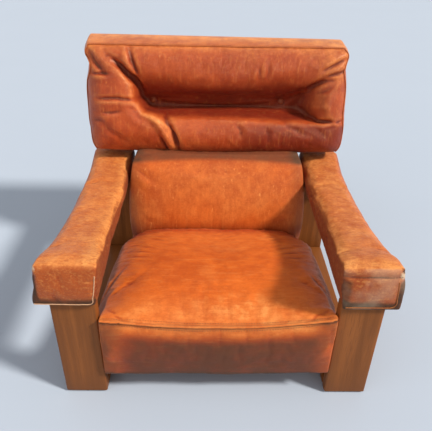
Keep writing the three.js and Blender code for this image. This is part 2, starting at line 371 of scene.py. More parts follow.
def grid_box(name: str, cells: tuple[int, int, int]) -> Piece:
    """A closed cube from -1 to 1 whose faces are cut into a grid.

    Args:
        name: The new piece's name.
        cells: How many cells lie along X, Y and Z.

    Returns:
        The new object.
    """
    deselect()
    bpy.ops.mesh.primitive_cube_add(size=2.0)
    piece = bpy.context.active_object
    piece.name = piece.data.name = name
    bpy.ops.object.mode_set(mode="EDIT")
    bpy.ops.mesh.select_mode(type="EDGE")
    for axis, count in enumerate(cells):
        mesh = bmesh.from_edit_mesh(piece.data)
        for edge in mesh.edges:
            step = edge.verts[1].co - edge.verts[0].co
            edge.select_set(abs(step[axis]) > 1.9)
        bmesh.update_edit_mesh(piece.data)
        bpy.ops.mesh.subdivide(number_cuts=count - 1)
    bpy.ops.object.mode_set(mode="OBJECT")
    return piece


def timber(name: str, low: Vector, high: Vector, bevel: float) -> Piece:
    """A squared timber with rounded edges.

    Args:
        name: The new piece's name.
        low: Its lowest corner.
        high: Its highest corner.
        bevel: The edges' radius.

    Returns:
        The new object.
    """
    deselect()
    bpy.ops.mesh.primitive_cube_add(size=1.0)
    piece = bpy.context.active_object
    piece.name = piece.data.name = name
    middle, size = (low + high) / 2, high - low
    bpy.ops.object.mode_set(mode="EDIT")
    bpy.ops.mesh.select_all(action="SELECT")
    bpy.ops.transform.resize(value=size)
    bpy.ops.transform.translate(value=middle)
    bpy.ops.object.mode_set(mode="OBJECT")
    modifier = piece.modifiers.new("edges", "BEVEL")
    modifier.width = bevel
    modifier.segments = 4
    modifier.limit_method = "NONE"
    apply_modifier(piece, "edges")
    shade_smooth(piece, 35.0)
    return piece


@dataclass(frozen=True)
class Upholstery:
    """Leather over a filling: how a cushion swells when it is blown up as cloth.

    Attributes:
        cap: The furthest that a vertex may move.
        pressure: The pressure inside.
        slack: How much larger the leather is cut than the shape, as a share.
        stretch: Stiffness against stretching and squeezing.
        shear: Stiffness against shearing.
        bend: Stiffness against bending.
        mass: The mass of a vertex.
        quality: Steps in each frame.
        frames: How many frames are run.
    """

    cap: float
    pressure: float
    slack: float
    stretch: float = 12.0
    shear: float = 6.0
    bend: float = 0.8
    mass: float = 0.3
    quality: int = 5
    frames: int = 20

    def puff(self, piece: Piece, held: Array) -> None:
        """Blows a piece up as cloth for a moment, with some vertices held still.

        Args:
            piece: The closed mesh.
            held: Indices of the vertices that stay put.
        """
        rest = get_points(piece)
        group = piece.vertex_groups.new(name="held")
        group.add([int(i) for i in held], 1.0, "REPLACE")
        cloth = piece.modifiers.new("puff", "CLOTH")
        settings = cloth.settings
        settings.quality = self.quality
        settings.mass = self.mass
        settings.tension_stiffness = settings.compression_stiffness = self.stretch
        settings.shear_stiffness = self.shear
        settings.bending_stiffness = self.bend
        settings.use_pressure = True
        settings.uniform_pressure_force = self.pressure
        settings.vertex_group_mass = "held"
        settings.shrink_min = -self.slack
        settings.effector_weights.gravity = 0.0
        cloth.collision_settings.use_collision = False
        scene = bpy.context.scene
        for frame in range(1, self.frames + 1):
            scene.frame_set(frame)
        apply_modifier(piece, "puff")
        scene.frame_set(1)
        moved = get_points(piece) - rest
        length = np.linalg.norm(moved, axis=1, keepdims=True)
        allowed = self.cap * np.tanh(length / self.cap)
        set_points(piece, rest + moved * allowed / np.maximum(length, 1e-9))
        piece.vertex_groups.clear()


def push(piece: Piece, heights: Array) -> None:
    """Moves every vertex along its own normal."""
    set_points(piece, get_points(piece) + get_normals(piece) * heights[:, None])


def skin_of(piece: Piece) -> BVHTree:
    """A search tree of the piece's faces.

    Args:
        piece: The piece to search.

    Returns:
        The tree.
    """
    mesh = bmesh.new()
    mesh.from_mesh(piece.data)
    tree = BVHTree.FromBMesh(mesh)
    mesh.free()
    return tree


def laid_on(tree: BVHTree, path: Path, lift: float) -> tuple[list[Vector], list[Vector]]:
    """Drops a path's points onto a surface.

    Args:
        tree: The surface.
        path: Points near the surface.
        lift: How far above the surface the points end.

    Returns:
        The new points, and the surface's normal at each.
    """
    places, normals = [], []
    for point in path:
        place, normal, _, _ = tree.find_nearest(Vector(point))
        places.append(place + normal * lift)
        normals.append(normal)
    return places, normals


def cord_piece(name: str, path: Path, radius: float) -> Piece:
    """A round cord swept along a path, with capped ends.

    Args:
        name: The new piece's name.
        path: The cord's centre line.
        radius: The cord's radius.

    Returns:
        The new mesh object.
    """
    curve = bpy.data.curves.new(name, "CURVE")
    curve.dimensions = "3D"
    curve.bevel_depth = radius
    curve.bevel_resolution = 2
    curve.use_fill_caps = True
    spline = curve.splines.new("POLY")
    spline.points.add(len(path) - 1)
    spline.points.foreach_set("co", [c for p in path for c in (*p, 1.0)])
    piece = bpy.data.objects.new(name, curve)
    bpy.context.scene.collection.objects.link(piece)
    activate(piece)
    bpy.ops.object.convert(target="MESH")
    piece = bpy.context.active_object
    piece.name = piece.data.name = name
    shade_smooth(piece)
    return piece


def resample(path: Path, pitch: float) -> list[Vector]:
    """Points spaced evenly along a path.

    Args:
        path: The path's corners.
        pitch: About the distance between the new points.

    Returns:
        The new points, both ends included.
    """
    corners = np.array([tuple(p) for p in path])
    lengths = np.linalg.norm(np.diff(corners, axis=0), axis=1)
    reach = np.concatenate([[0.0], np.cumsum(lengths)])
    count = max(2, int(round(reach[-1] / pitch)) + 1)
    at = np.linspace(0.0, reach[-1], count)
    return [Vector(np.array([np.interp(s, reach, corners[:, k]) for k in range(3)])) for s in at]


@dataclass(frozen=True)
class Thread:
    """A row of stitches.

    Attributes:
        pitch: From one stitch to the next.
        length: A stitch's length.
        thick: A stitch's thickness.
    """

    pitch: float = 0.0065
    length: float = 0.0046
    thick: float = 0.0011

    def sew(self, name: str, path: Path, normals: Path) -> Piece:
        """One mesh of stitches that lie along a path on a surface.

        Args:
            name: The new piece's name.
            path: The seam's points, a stitch pitch apart.
            normals: The surface's normal at each point.

        Returns:
            The new mesh object.
        """
        deselect()
        bpy.ops.mesh.primitive_uv_sphere_add(segments=6, ring_count=4, radius=0.5)
        template = bpy.context.active_object
        shape = get_points(template) * (self.length, self.thick, self.thick)
        faces = [tuple(f.vertices) for f in template.data.polygons]
        bpy.data.objects.remove(template)
        vertices, polygons = [], []
        for k in range(len(path) - 1):
            along = (path[k + 1] - path[k]).normalized()
            up = normals[k]
            across = up.cross(along).normalized()
            axes = np.array([along, across, up])
            base = len(vertices)
            centre = np.array((path[k] + path[k + 1]) / 2)
            vertices.extend(map(tuple, shape @ axes + centre))
            polygons.extend(tuple(base + i for i in face) for face in faces)
        mesh = bpy.data.meshes.new(name)
        mesh.from_pydata(vertices, [], polygons)
        piece = bpy.data.objects.new(name, mesh)
        bpy.context.scene.collection.objects.link(piece)
        shade_smooth(piece)
        return piece


# Finishes -----------------------------------------------------------------------------------

class Nodes:
    """A material's node tree, with short methods for the nodes that the finishes use."""

    def __init__(self, name: str) -> None:
        """Starts an empty principled material.

        Args:
            name: The material's name.
        """
        self.material = bpy.data.materials.new(name)
        self.material.use_nodes = True
        self.tree = self.material.node_tree
        self.shader = self.tree.nodes["Principled BSDF"]
        self.place = self.node("ShaderNodeTexCoord").outputs["Object"]

    def node(self, kind: str, **settings: str) -> bpy.types.Node:
        """A new node with its settings.

        Args:
            kind: Blender's name for the node.
            **settings: The node's own settings.

        Returns:
            The node.
        """
        made = self.tree.nodes.new(kind)
        for name, value in settings.items():
            setattr(made, name, value)
        return made

    def join(self, source: Value | Paint, target: Socket) -> None:
        """Links an output to an input, or sets the input to a plain value.

        Args:
            source: An output, a number or a colour.
            target: The input.
        """
        if isinstance(source, Socket):
            self.tree.links.new(source, target)
        elif isinstance(source, tuple):
            target.default_value = (*source, 1.0)
        else:
            target.default_value = source

    def stretched(self, scale: Sequence[float]) -> Socket:
        """Object coordinates scaled by a Mapping node.

        Args:
            scale: The scale along each axis.

        Returns:
            The coordinates.
        """
        mapping = self.node("ShaderNodeMapping")
        self.join(self.place, mapping.inputs["Vector"])
        mapping.inputs["Scale"].default_value = scale
        return mapping.outputs["Vector"]

    def noise(self, scale: float, detail: float = 3.0, rough: float = 0.5,
              at: Socket | None = None, warp: float = 0.0) -> Socket:
        """Noise of 0 to 1.

        Args:
            scale: Cycles a metre.
            detail: How many finer layers are added.
            rough: How strong the finer layers are.
            at: Coordinates to use in place of the object's.
            warp: How much the pattern is distorted.

        Returns:
            The noise.
        """
        made = self.node("ShaderNodeTexNoise")
        self.join(at or self.place, made.inputs["Vector"])
        made.inputs["Scale"].default_value = scale
        made.inputs["Detail"].default_value = detail
        made.inputs["Roughness"].default_value = rough
        made.inputs["Distortion"].default_value = warp
        return made.outputs["Fac"]

    def cells(self, scale: float, feature: str = "DISTANCE_TO_EDGE") -> Socket:
        """Voronoi distance: to the cells' edges, or to their middles.

        Args:
            scale: Cells a metre.
            feature: Which distance is measured.

        Returns:
            The distance.
        """
        made = self.node("ShaderNodeTexVoronoi", feature=feature)
        self.join(self.place, made.inputs["Vector"])
        made.inputs["Scale"].default_value = scale
        return made.outputs["Distance"]

    def attribute(self, name: str) -> Socket:
        """A number that was painted on the piece."""
        return self.node("ShaderNodeAttribute", attribute_name=name).outputs["Fac"]

    def ranged(self, value: Value, low: float, high: float, to_low: float = 0.0,
               to_high: float = 1.0) -> Socket:
        """Moves a value from one range to another, smoothly and clamped.

        Args:
            value: The value to move.
            low: Start of its own range.
            high: End of its own range.
            to_low: The result at low.
            to_high: The result at high.

        Returns:
            The moved value.
        """
        made = self.node("ShaderNodeMapRange", interpolation_type="SMOOTHSTEP")
        self.join(value, made.inputs["Value"])
        made.inputs["From Min"].default_value = low
        made.inputs["From Max"].default_value = high
        made.inputs["To Min"].default_value = to_low
        made.inputs["To Max"].default_value = to_high
        return made.outputs["Result"]

    def times(self, a: Value, b: Value, plus: Value | None = None) -> Socket:
        """Multiplies two values, and adds a third where one is given.

        Args:
            a: The first factor.
            b: The second factor.
            plus: What is added, if anything.

        Returns:
            The result.
        """
        made = self.node("ShaderNodeMath", operation="MULTIPLY")
        self.join(a, made.inputs[0])
        self.join(b, made.inputs[1])
        if plus is not None:
            made.operation = "MULTIPLY_ADD"
            self.join(plus, made.inputs[2])
        return made.outputs[0]

    def mix(self, share: Value, a: Paint, b: Paint, blend: str = "MIX") -> Socket:
        """Mixes two colours.

        Args:
            share: How much of b is taken.
            a: The colour underneath.
            b: The colour on top.
            blend: How they are blended.

        Returns:
            The mixed colour.
        """
        made = self.node("ShaderNodeMix", data_type="RGBA", blend_type=blend)
        self.join(share, made.inputs["Factor"])
        self.join(a, made.inputs["A"])
        self.join(b, made.inputs["B"])
        return made.outputs["Result"]

    def bump(self, height: Socket, distance: float, strength: float,
             under: Socket | None = None) -> Socket:
        """A Bump node, on top of another normal where one is given.

        Args:
            height: The relief.
            distance: Its height in metres.
            strength: How much of it shows.
            under: The normal that it lies on.

        Returns:
            The new normal.
        """
        made = self.node("ShaderNodeBump")
        self.join(height, made.inputs["Height"])
        made.inputs["Distance"].default_value = distance
        made.inputs["Strength"].default_value = strength
        if under is not None:
            self.join(under, made.inputs["Normal"])
        return made.outputs["Normal"]

    def waxed(self, level: float, tint: Colour) -> None:
        """Sets the shader's specular level and the colour of its shine."""
        self.shader.inputs["Specular IOR Level"].default_value = level
        self.shader.inputs["Specular Tint"].default_value = (*tint, 1.0)

    def finish(self, colour: Paint, rough: Value, normal: Socket | None = None,
               metal: float = 0.0) -> Finish:
        """Joins the results to the shader.

        Args:
            colour: The base colour.
            rough: The roughness.
            normal: The bumped normal.
            metal: 1 for bare metal.

        Returns:
            The finished material.
        """
        self.join(colour, self.shader.inputs["Base Color"])
        self.join(rough, self.shader.inputs["Roughness"])
        self.shader.inputs["Metallic"].default_value = metal
        if normal is not None:
            self.join(normal, self.shader.inputs["Normal"])
        return self.material


@dataclass(frozen=True)
class Leather:
    """Worn, waxed leather. It reads the painted numbers wear, grime, deep and torn.

    Attributes:
        name: The material's name.
        body: The hide's own colour.
        dark: Its darker clouds, and the painted shade in its creases and hollows.
        rubbed: The pale colour of its worn spots, also used for painted highlights.
        dirt_and_shade: The colour of its soiling, also used for painted shade.
        fibre: The colour of torn fibres.
        gloss: Roughness of the bare hide.
        streak: Direction that the finest scratches run in.
        pebbled: How strongly the pebble grain shows.
        shine: The wax's specular level.
        scratched: How strongly the finest scratches show.
    """

    name: str
    body: Colour
    dark: Colour
    rubbed: Colour
    dirt_and_shade: Colour = (0.090, 0.036, 0.018)
    fibre: Colour = (0.700, 0.520, 0.340)
    gloss: float = 0.42
    streak: tuple[float, float, float] = (1.0, 0.12, 1.0)
    pebbled: float = 0.35
    shine: float = 0.38
    scratched: float = 0.32

    def build(self) -> Finish:
        """Makes the material.

        Returns:
            The material.
        """
        nodes = Nodes(self.name)
        mottle = nodes.noise(26.0, 7.0, 0.68)
        speck = nodes.noise(260.0, 5.0, 0.72)
        pores = nodes.cells(560.0)
        pebble = nodes.noise(185.0, 3.0, 0.6)
        creasing = nodes.noise(120.0, 4.0, 0.6, at=nodes.stretched(self.streak))
        grime_and_shade = nodes.attribute("grime_and_shade")
        colour = self.hide(nodes, mottle, speck)
        colour = self.grained(nodes, colour, pores, pebble, creasing)
        # Where this number is painted, the dirt colour goes in: real soiling, and painted shade in
        # hollows and on shaded faces.
        soiled_and_shaded = nodes.times(grime_and_shade, nodes.ranged(mottle, 0.25, 0.6, 0.72, 1.0))
        colour = nodes.mix(soiled_and_shaded, colour, self.dirt_and_shade)
        colour = nodes.mix(nodes.attribute("torn"), colour, self.fibre)
        dull = nodes.ranged(grime_and_shade, 0.0, 1.0, self.gloss - 0.10, self.gloss + 0.12)
        rough = nodes.times(mottle, 0.20, plus=dull)
        normal = nodes.bump(nodes.ranged(pores, 0.0, 0.16), 0.0004, 0.6)
        normal = nodes.bump(pebble, 0.0007, 0.3 + 0.6 * self.pebbled, under=normal)
        normal = nodes.bump(creasing, 0.0008, 0.5, under=normal)
        normal = nodes.bump(mottle, 0.0010, 0.4, under=normal)
        nodes.shader.inputs["Sheen Weight"].default_value = 0.02
        nodes.waxed(self.shine, (1.0, 0.74, 0.52))
        return nodes.finish(colour, rough, normal)

    def hide(self, nodes: Nodes, mottle: Socket, speck: Socket) -> Socket:
        """The clouded hide: worn pale with painted highlights in places, scratched, flecked and
        darkened by painted shade.

        Args:
            nodes: The material's nodes.
            mottle: Middling noise.
            speck: Fine noise.

        Returns:
            The colour.
        """
        broad = nodes.noise(3.6, 3.0, 0.5)
        tone = nodes.times(broad, 0.40, plus=nodes.times(speck, 0.20))
        tone = nodes.times(mottle, 0.40, plus=tone)
        colour = nodes.mix(nodes.ranged(tone, 0.36, 0.62), self.dark, self.body)
        # Pale patches: real rubbing, and painted highlights on the head cushion.
        patchy = nodes.times(nodes.attribute("wear_and_highlight"), nodes.ranged(mottle, 0.34, 0.60, 0.45, 1.0))
        patchy = nodes.times(patchy, nodes.ranged(speck, 0.34, 0.62, 0.6, 1.0))
        colour = nodes.mix(patchy, colour, self.rubbed)
        streaks = nodes.noise(90.0, 6.0, 0.66, at=nodes.stretched(self.streak))
        scratches = nodes.ranged(streaks, 0.62, 0.70, 0.0, self.scratched)
        colour = nodes.mix(scratches, colour, self.rubbed)
        spots = nodes.ranged(nodes.cells(74.0, feature="F1"), 0.075, 0.03)
        flecks = nodes.times(spots, nodes.ranged(nodes.noise(11.0, 2.0), 0.54, 0.62))
        colour = nodes.mix(nodes.times(flecks, 0.6), colour, self.rubbed)
        # Painted shade: where deep is painted, the colour is multiplied by the dark colour.
        return nodes.mix(nodes.times(nodes.attribute("deep"), 0.9), colour, self.dark, "MULTIPLY")

    def grained(self, nodes: Nodes, colour: Socket, pores: Socket, pebble: Socket,
                creasing: Socket) -> Socket:
        """Draws the pores, the pebble grain and the finest creases into the colour.

        Args:
            nodes: The material's nodes.
            colour: The hide's colour.
            pores: Distance to the pores' edges.
            pebble: The pebble grain.
            creasing: The finest creases.

        Returns:
            The new colour.
        """
        lines = 0.14 + 0.34 * self.pebbled
        for share, tint in (
            (nodes.ranged(pores, 0.0, 0.10, 0.30, 0.0), self.dark),
            (nodes.ranged(pebble, 0.50, 0.68, 0.0, 0.24 * self.pebbled), self.dark),
            (nodes.ranged(pebble, 0.50, 0.34, 0.0, 0.20 * self.pebbled), self.rubbed),
            (nodes.ranged(creasing, 0.48, 0.36, 0.0, lines), self.dark),
            (nodes.ranged(creasing, 0.54, 0.66, 0.0, 0.6 * lines), self.rubbed),
        ):
            colour = nodes.mix(share, colour, tint)
        return colour


@dataclass(frozen=True)
class Wood:
    """Timber with its grain along one axis. It reads the painted number foot.

    Attributes:
        name: The material's name.
        light: The lighter bands.
        dark: The darker bands and fibres.
        grain: The direction of the grain.
        gloss: The surface's roughness.
        rings: The bands' cycles a metre.
    """

    name: str
    light: Colour
    dark: Colour
    grain: Axis
    gloss: float = 0.5
    rings: float = 30.0

    def build(self) -> Finish:
        """Makes the material.

        Returns:
            The material.
        """
        nodes = Nodes(self.name)
        stretch = [1.0, 1.0, 1.0]
        stretch[self.grain.value] = 0.045
        along = nodes.stretched(stretch)
        fibre = nodes.noise(420.0, 4.0, 0.6, at=along)
        band = nodes.noise(self.rings, 5.0, 0.55, at=along, warp=0.9)
        cloud_tone = nodes.noise(7.0, 3.0, 0.5)
        colour = nodes.mix(nodes.ranged(band, 0.36, 0.66), self.dark, self.light)
        colour = nodes.mix(nodes.ranged(fibre, 0.52, 0.66, 0.0, 0.75), colour, self.dark)
        colour = nodes.mix(nodes.ranged(cloud_tone, 0.4, 0.7, 0.0, 0.35), colour, self.dark)
        colour = nodes.mix(nodes.times(nodes.attribute("foot"), 0.7), colour, self.dark)
        marks = nodes.noise(26.0, 6.0, 0.7, at=nodes.stretched((0.4, 1.0, 2.4)), warp=1.2)
        colour = nodes.mix(nodes.ranged(marks, 0.68, 0.74, 0.0, 0.35), colour, self.light)
        rough = nodes.times(band, 0.18, plus=self.gloss - 0.09)
        pores = nodes.bump(nodes.ranged(fibre, 0.5, 0.72), 0.0004, 0.5)
        normal = nodes.bump(band, 0.0006, 0.4, under=pores)
        nodes.waxed(0.3, (1.0, 0.80, 0.60))
        return nodes.finish(colour, rough, normal)


@dataclass(frozen=True)
class Plain:
    """A quiet finish for small and hidden pieces: two tones, a fine grain and a gloss.

    Attributes:
        name: The material's name.
        light: The lighter tone.
        dark: The darker tone.
        rough: The surface's roughness.
        scale: The grain's cycles a metre.
        stretch: The grain's stretch along each axis.
        relief: The grain's height.
        metal: 1 for bare metal.
    """

    name: str
    light: Colour
    dark: Colour
    rough: float
    scale: float = 300.0
    stretch: tuple[float, float, float] = (1.0, 1.0, 1.0)
    relief: float = 0.0003
    metal: float = 0.0

    def build(self) -> Finish:
        """Makes the material.

        Returns:
            The material.
        """
        nodes = Nodes(self.name)
        tone = nodes.noise(self.scale, 4.0, 0.6, at=nodes.stretched(self.stretch))
        patches = nodes.noise(self.scale / 12.0, 3.0)
        both = nodes.times(patches, 0.6, plus=nodes.times(tone, 0.4))
        colour = nodes.mix(nodes.ranged(both, 0.35, 0.65), self.dark, self.light)
        rough = nodes.times(tone, 0.2, plus=self.rough - 0.1)
        return nodes.finish(colour, rough, nodes.bump(tone, self.relief, 0.6), self.metal)


class Wardrobe:
    """Every finish of the chair, each made once."""

    def __init__(self) -> None:
        """Makes the materials."""
        self.seat = Leather(
            "seat_leather", body=(0.760, 0.148, 0.014), dark=(0.500, 0.076, 0.008),
            rubbed=(0.880, 0.330, 0.085), streak=(0.16, 1.0, 1.0),
        ).build()
        self.lumbar = Leather(
            "lumbar_leather", body=(0.690, 0.128, 0.012), dark=(0.450, 0.066, 0.007),
            rubbed=(0.850, 0.310, 0.075), streak=(1.0, 1.0, 0.08), scratched=0.75,
        ).build()
        self.head = Leather(
            "head_leather", body=(0.530, 0.082, 0.014), dark=(0.320, 0.034, 0.006),
            rubbed=(0.950, 0.350, 0.085), streak=(1.0, 1.0, 0.14), gloss=0.33, pebbled=0.15,
            shine=0.60,
        ).build()
        self.arm = Leather(
            "arm_leather", body=(0.640, 0.160, 0.030), dark=(0.430, 0.084, 0.016),
            rubbed=(0.850, 0.350, 0.095), streak=(0.5, 1.0, 1.0), pebbled=1.0, shine=0.30,
            dirt_and_shade=(0.062, 0.025, 0.012),
        ).build()
        self.back = Leather(
            "back_leather", body=(0.400, 0.085, 0.026), dark=(0.240, 0.042, 0.014),
            rubbed=(0.620, 0.230, 0.080), streak=(1.0, 1.0, 0.3), gloss=0.5,
        ).build()
        self.thread = Plain("waxed_thread", (0.20, 0.075, 0.030), (0.10, 0.035, 0.015), 0.6,
                            scale=1500.0).build()
        self.timber = {
            Species.OAK: {
                axis: Wood(f"oak_{axis.name.lower()}", (0.292, 0.092, 0.021),
                           (0.180, 0.055, 0.012), axis).build()
                for axis in Axis
            },
            Species.BEECH: {
                axis: Wood(f"beech_{axis.name.lower()}", (0.560, 0.360, 0.190),
                           (0.390, 0.225, 0.110), axis, gloss=0.65, rings=18.0).build()
                for axis in Axis
            },
        }
        self.foam = Plain("aged_foam", (0.70, 0.56, 0.30), (0.55, 0.40, 0.19), 0.95,
                          scale=420.0, relief=0.0008).build()
        self.webbing = Plain("woven_webbing", (0.085, 0.060, 0.040), (0.035, 0.024, 0.017), 0.85,
                             scale=700.0, stretch=(0.25, 1.0, 1.0), relief=0.0006).build()
        self.nylon = Plain("moulded_nylon", (0.030, 0.027, 0.025), (0.018, 0.016, 0.015), 0.5,
                           scale=900.0).build()
        self.steel = Plain("zinc_steel", (0.62, 0.62, 0.60), (0.42, 0.42, 0.41), 0.35,
                           scale=500.0, stretch=(0.1, 1.0, 1.0), metal=1.0).build()
        self.brass = Plain("dull_brass", (0.45, 0.32, 0.13), (0.28, 0.19, 0.08), 0.4,
                           scale=1200.0, metal=1.0).build()


def dress(piece: Piece, material: Finish) -> None:
    """Gives a piece one material."""
    piece.data.materials.clear()
    piece.data.materials.append(material)


def settle(piece: Piece, finish: Finish, slot: str, *replaced: str,
           fill: float | None = None) -> None:
    """Dresses a finished piece and hands it over to the frame.

    Args:
        piece: The finished piece.
        finish: Its material.
        slot: The record's material slot that it belongs to; not used.
        *replaced: The CAD nodes that it stands for.
        fill: How full it is, where it is padded; not used.
    """
    dress(piece, finish)
    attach(piece, ROOT)
    if replaced:
        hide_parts(*replaced)
    LOG.info("%s: %d faces", piece.name, len(piece.data.polygons))


def crevices(piece: Piece, reach: float = 0.006) -> Array:
    """How hollow the surface is at each vertex: 0 on ridges and flats, 1 in creases.

    Args:
        piece: The piece to read.
        reach: The scale of the creases that count.

    Returns:
        One number for each vertex, below 0 on ridges.
    """
    points, normals = get_points(piece), get_normals(piece)
    edges = np.empty(len(piece.data.edges) * 2, np.int32)
    piece.data.edges.foreach_get("vertices", edges)
    a, b = edges.reshape(-1, 2).T
    hollow = np.zeros(len(points))
    count = np.zeros(len(points))
    for start, end in ((a, b), (b, a)):
        step = points[end] - points[start]
        bend = (step * normals[start]).sum(1) / np.maximum((step**2).sum(1), 1e-12)
        np.add.at(hollow, start, bend)
        np.add.at(count, start, 1.0)
    hollow = hollow / np.maximum(count, 1.0) * reach
    for _ in range(3):
        total = hollow.copy()
        np.add.at(total, a, hollow[b])
        np.add.at(total, b, hollow[a])
        hollow = total / (count + 1.0)
    return hollow


def relief_marks(piece: Piece) -> tuple[Array, Array, Array]:
    """Ridges that grow pale, creases with painted shade, deepest folds with soiling and painted
    shade.

    Args:
        piece: The piece to read.

    Returns:
        Three numbers of 0 to 1 for each vertex: ridge, crease (painted shade) and fold soiling
            with painted shade.
    """
    hollow = crevices(piece)
    return ramp(0.02, 0.12, -hollow), ramp(0.01, 0.10, hollow), ramp(0.02, 0.14, hollow)


def even_wear_and_shade(piece: Piece, wear_and_highlight: float = 0.35, grime_and_shade: float = 0.12,
               deep: float = 0.0) -> None:
    """Even paint for a small leather piece: pale rubbing, soiling and painted shade.

    Args:
        piece: The piece to paint.
        wear_and_highlight: How worn it is.
        grime_and_shade: How much soiling it has.
        deep: How much painted shade darkens it.
    """
    count = len(piece.data.vertices)
    paint(piece, "wear_and_highlight", np.full(count, wear_and_highlight))
    paint(piece, "grime_and_shade", np.full(count, grime_and_shade))
    paint(piece, "deep", np.full(count, deep))


def pinch(piece: Piece, path: Path) -> None:
    """Draws the leather in along a seam.

    Args:
        piece: The leather piece.
        path: The seam's points.
    """
    depth, width, reach, chunk_size = 0.0016, 0.005, 0.02, 4000
    points = get_points(piece)
    seam = np.array([tuple(p) for p in path])
    nearest = np.full(len(points), FAR)
    low, high = seam.min(0) - reach, seam.max(0) + reach
    close = np.flatnonzero(((points > low) & (points < high)).all(1))
    for chunk in np.array_split(close, max(1, len(close) // chunk_size)):
        gap = np.linalg.norm(points[chunk][:, None, :] - seam[None, :, :], axis=2)
        nearest[chunk] = gap.min(1)
    push(piece, -depth * bell(nearest, width))


def leather_cord(name: str, path: Path, radius: float, wear_and_highlight: float = 0.35,
                 grime_and_shade: float = 0.12) -> Piece:
    """A leather-covered cord or rolled edge, evenly worn.

    Args:
        name: The new piece's name.
        path: The cord's centre line.
        radius: The cord's radius.
        wear_and_highlight: How worn it is.
        grime_and_shade: How much soiling it has.

    Returns:
        The new mesh object.
    """
    cord = cord_piece(name, path, radius)
    even_wear_and_shade(cord, wear_and_highlight, grime_and_shade)
    return cord


def sew_row(name: str, tree: BVHTree, line: Path, lift: float, slot: str,
            finish: Finish) -> None:
    """Sews one row of stitches onto a surface and hands it over.

    Args:
        name: The new piece's name.
        tree: The surface.
        line: The row's line, near the surface.
        lift: How far above the surface the stitches' middles lie.
        slot: The record's material slot.
        finish: The thread's finish.
    """
    thread = Thread()
    places, normals = laid_on(tree, resample(line, thread.pitch), lift)
    settle(thread.sew(name, places, normals), finish, slot)


# The leaning back ---------------------------------------------------------------------------


@dataclass(frozen=True)
class BackPlane:
    """The leaning plane that the two back cushions rest on.

    Attributes:
        lean: How far it leans back from upright, in radians.
        board_foot: The height on the plane where the head board's lower edge lies.
        board_thick: The head board's thickness.
    """

    lean: float = math.radians(14.0)
    board_foot: float = 0.236
    board_thick: float = 0.006

    @property
    def up(self) -> Array:
        """The direction up the plane."""
        return np.array([0.0, math.sin(self.lean), math.cos(self.lean)])

    @property
    def out(self) -> Array:
        """The direction out of the plane, towards the sitter."""
        return np.array([0.0, -math.cos(self.lean), math.sin(self.lean)])

    @property
    def origin(self) -> Array:
        """The point on the plane from which heights are counted.

        Returns:
            A place in the row frame.
        """
        low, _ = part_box("head_board")
        edge = np.array([0.0, low.y, low.z + self.board_thick * math.sin(self.lean)])
        return edge - self.up * self.board_foot

    def place(self, x: Array, out: Array, up: Array) -> Points:
        """Turns coordinates on the plane into places in the row frame.

        Args:
            x: Places across the chair.
            out: Distances out of the plane.
            up: Heights on the plane.

        Returns:
            One place for each point.
        """
        base = self.origin + np.outer(out, self.out) + np.outer(up, self.up)
        base[:, 0] += x
        return base

    def read(self, points: Points) -> tuple[Array, Array, Array]:
        """Turns places in the row frame into coordinates on the plane."""
        relative = points - self.origin
        return points[:, 0], relative @ self.out, relative @ self.up


PLANE = BackPlane()


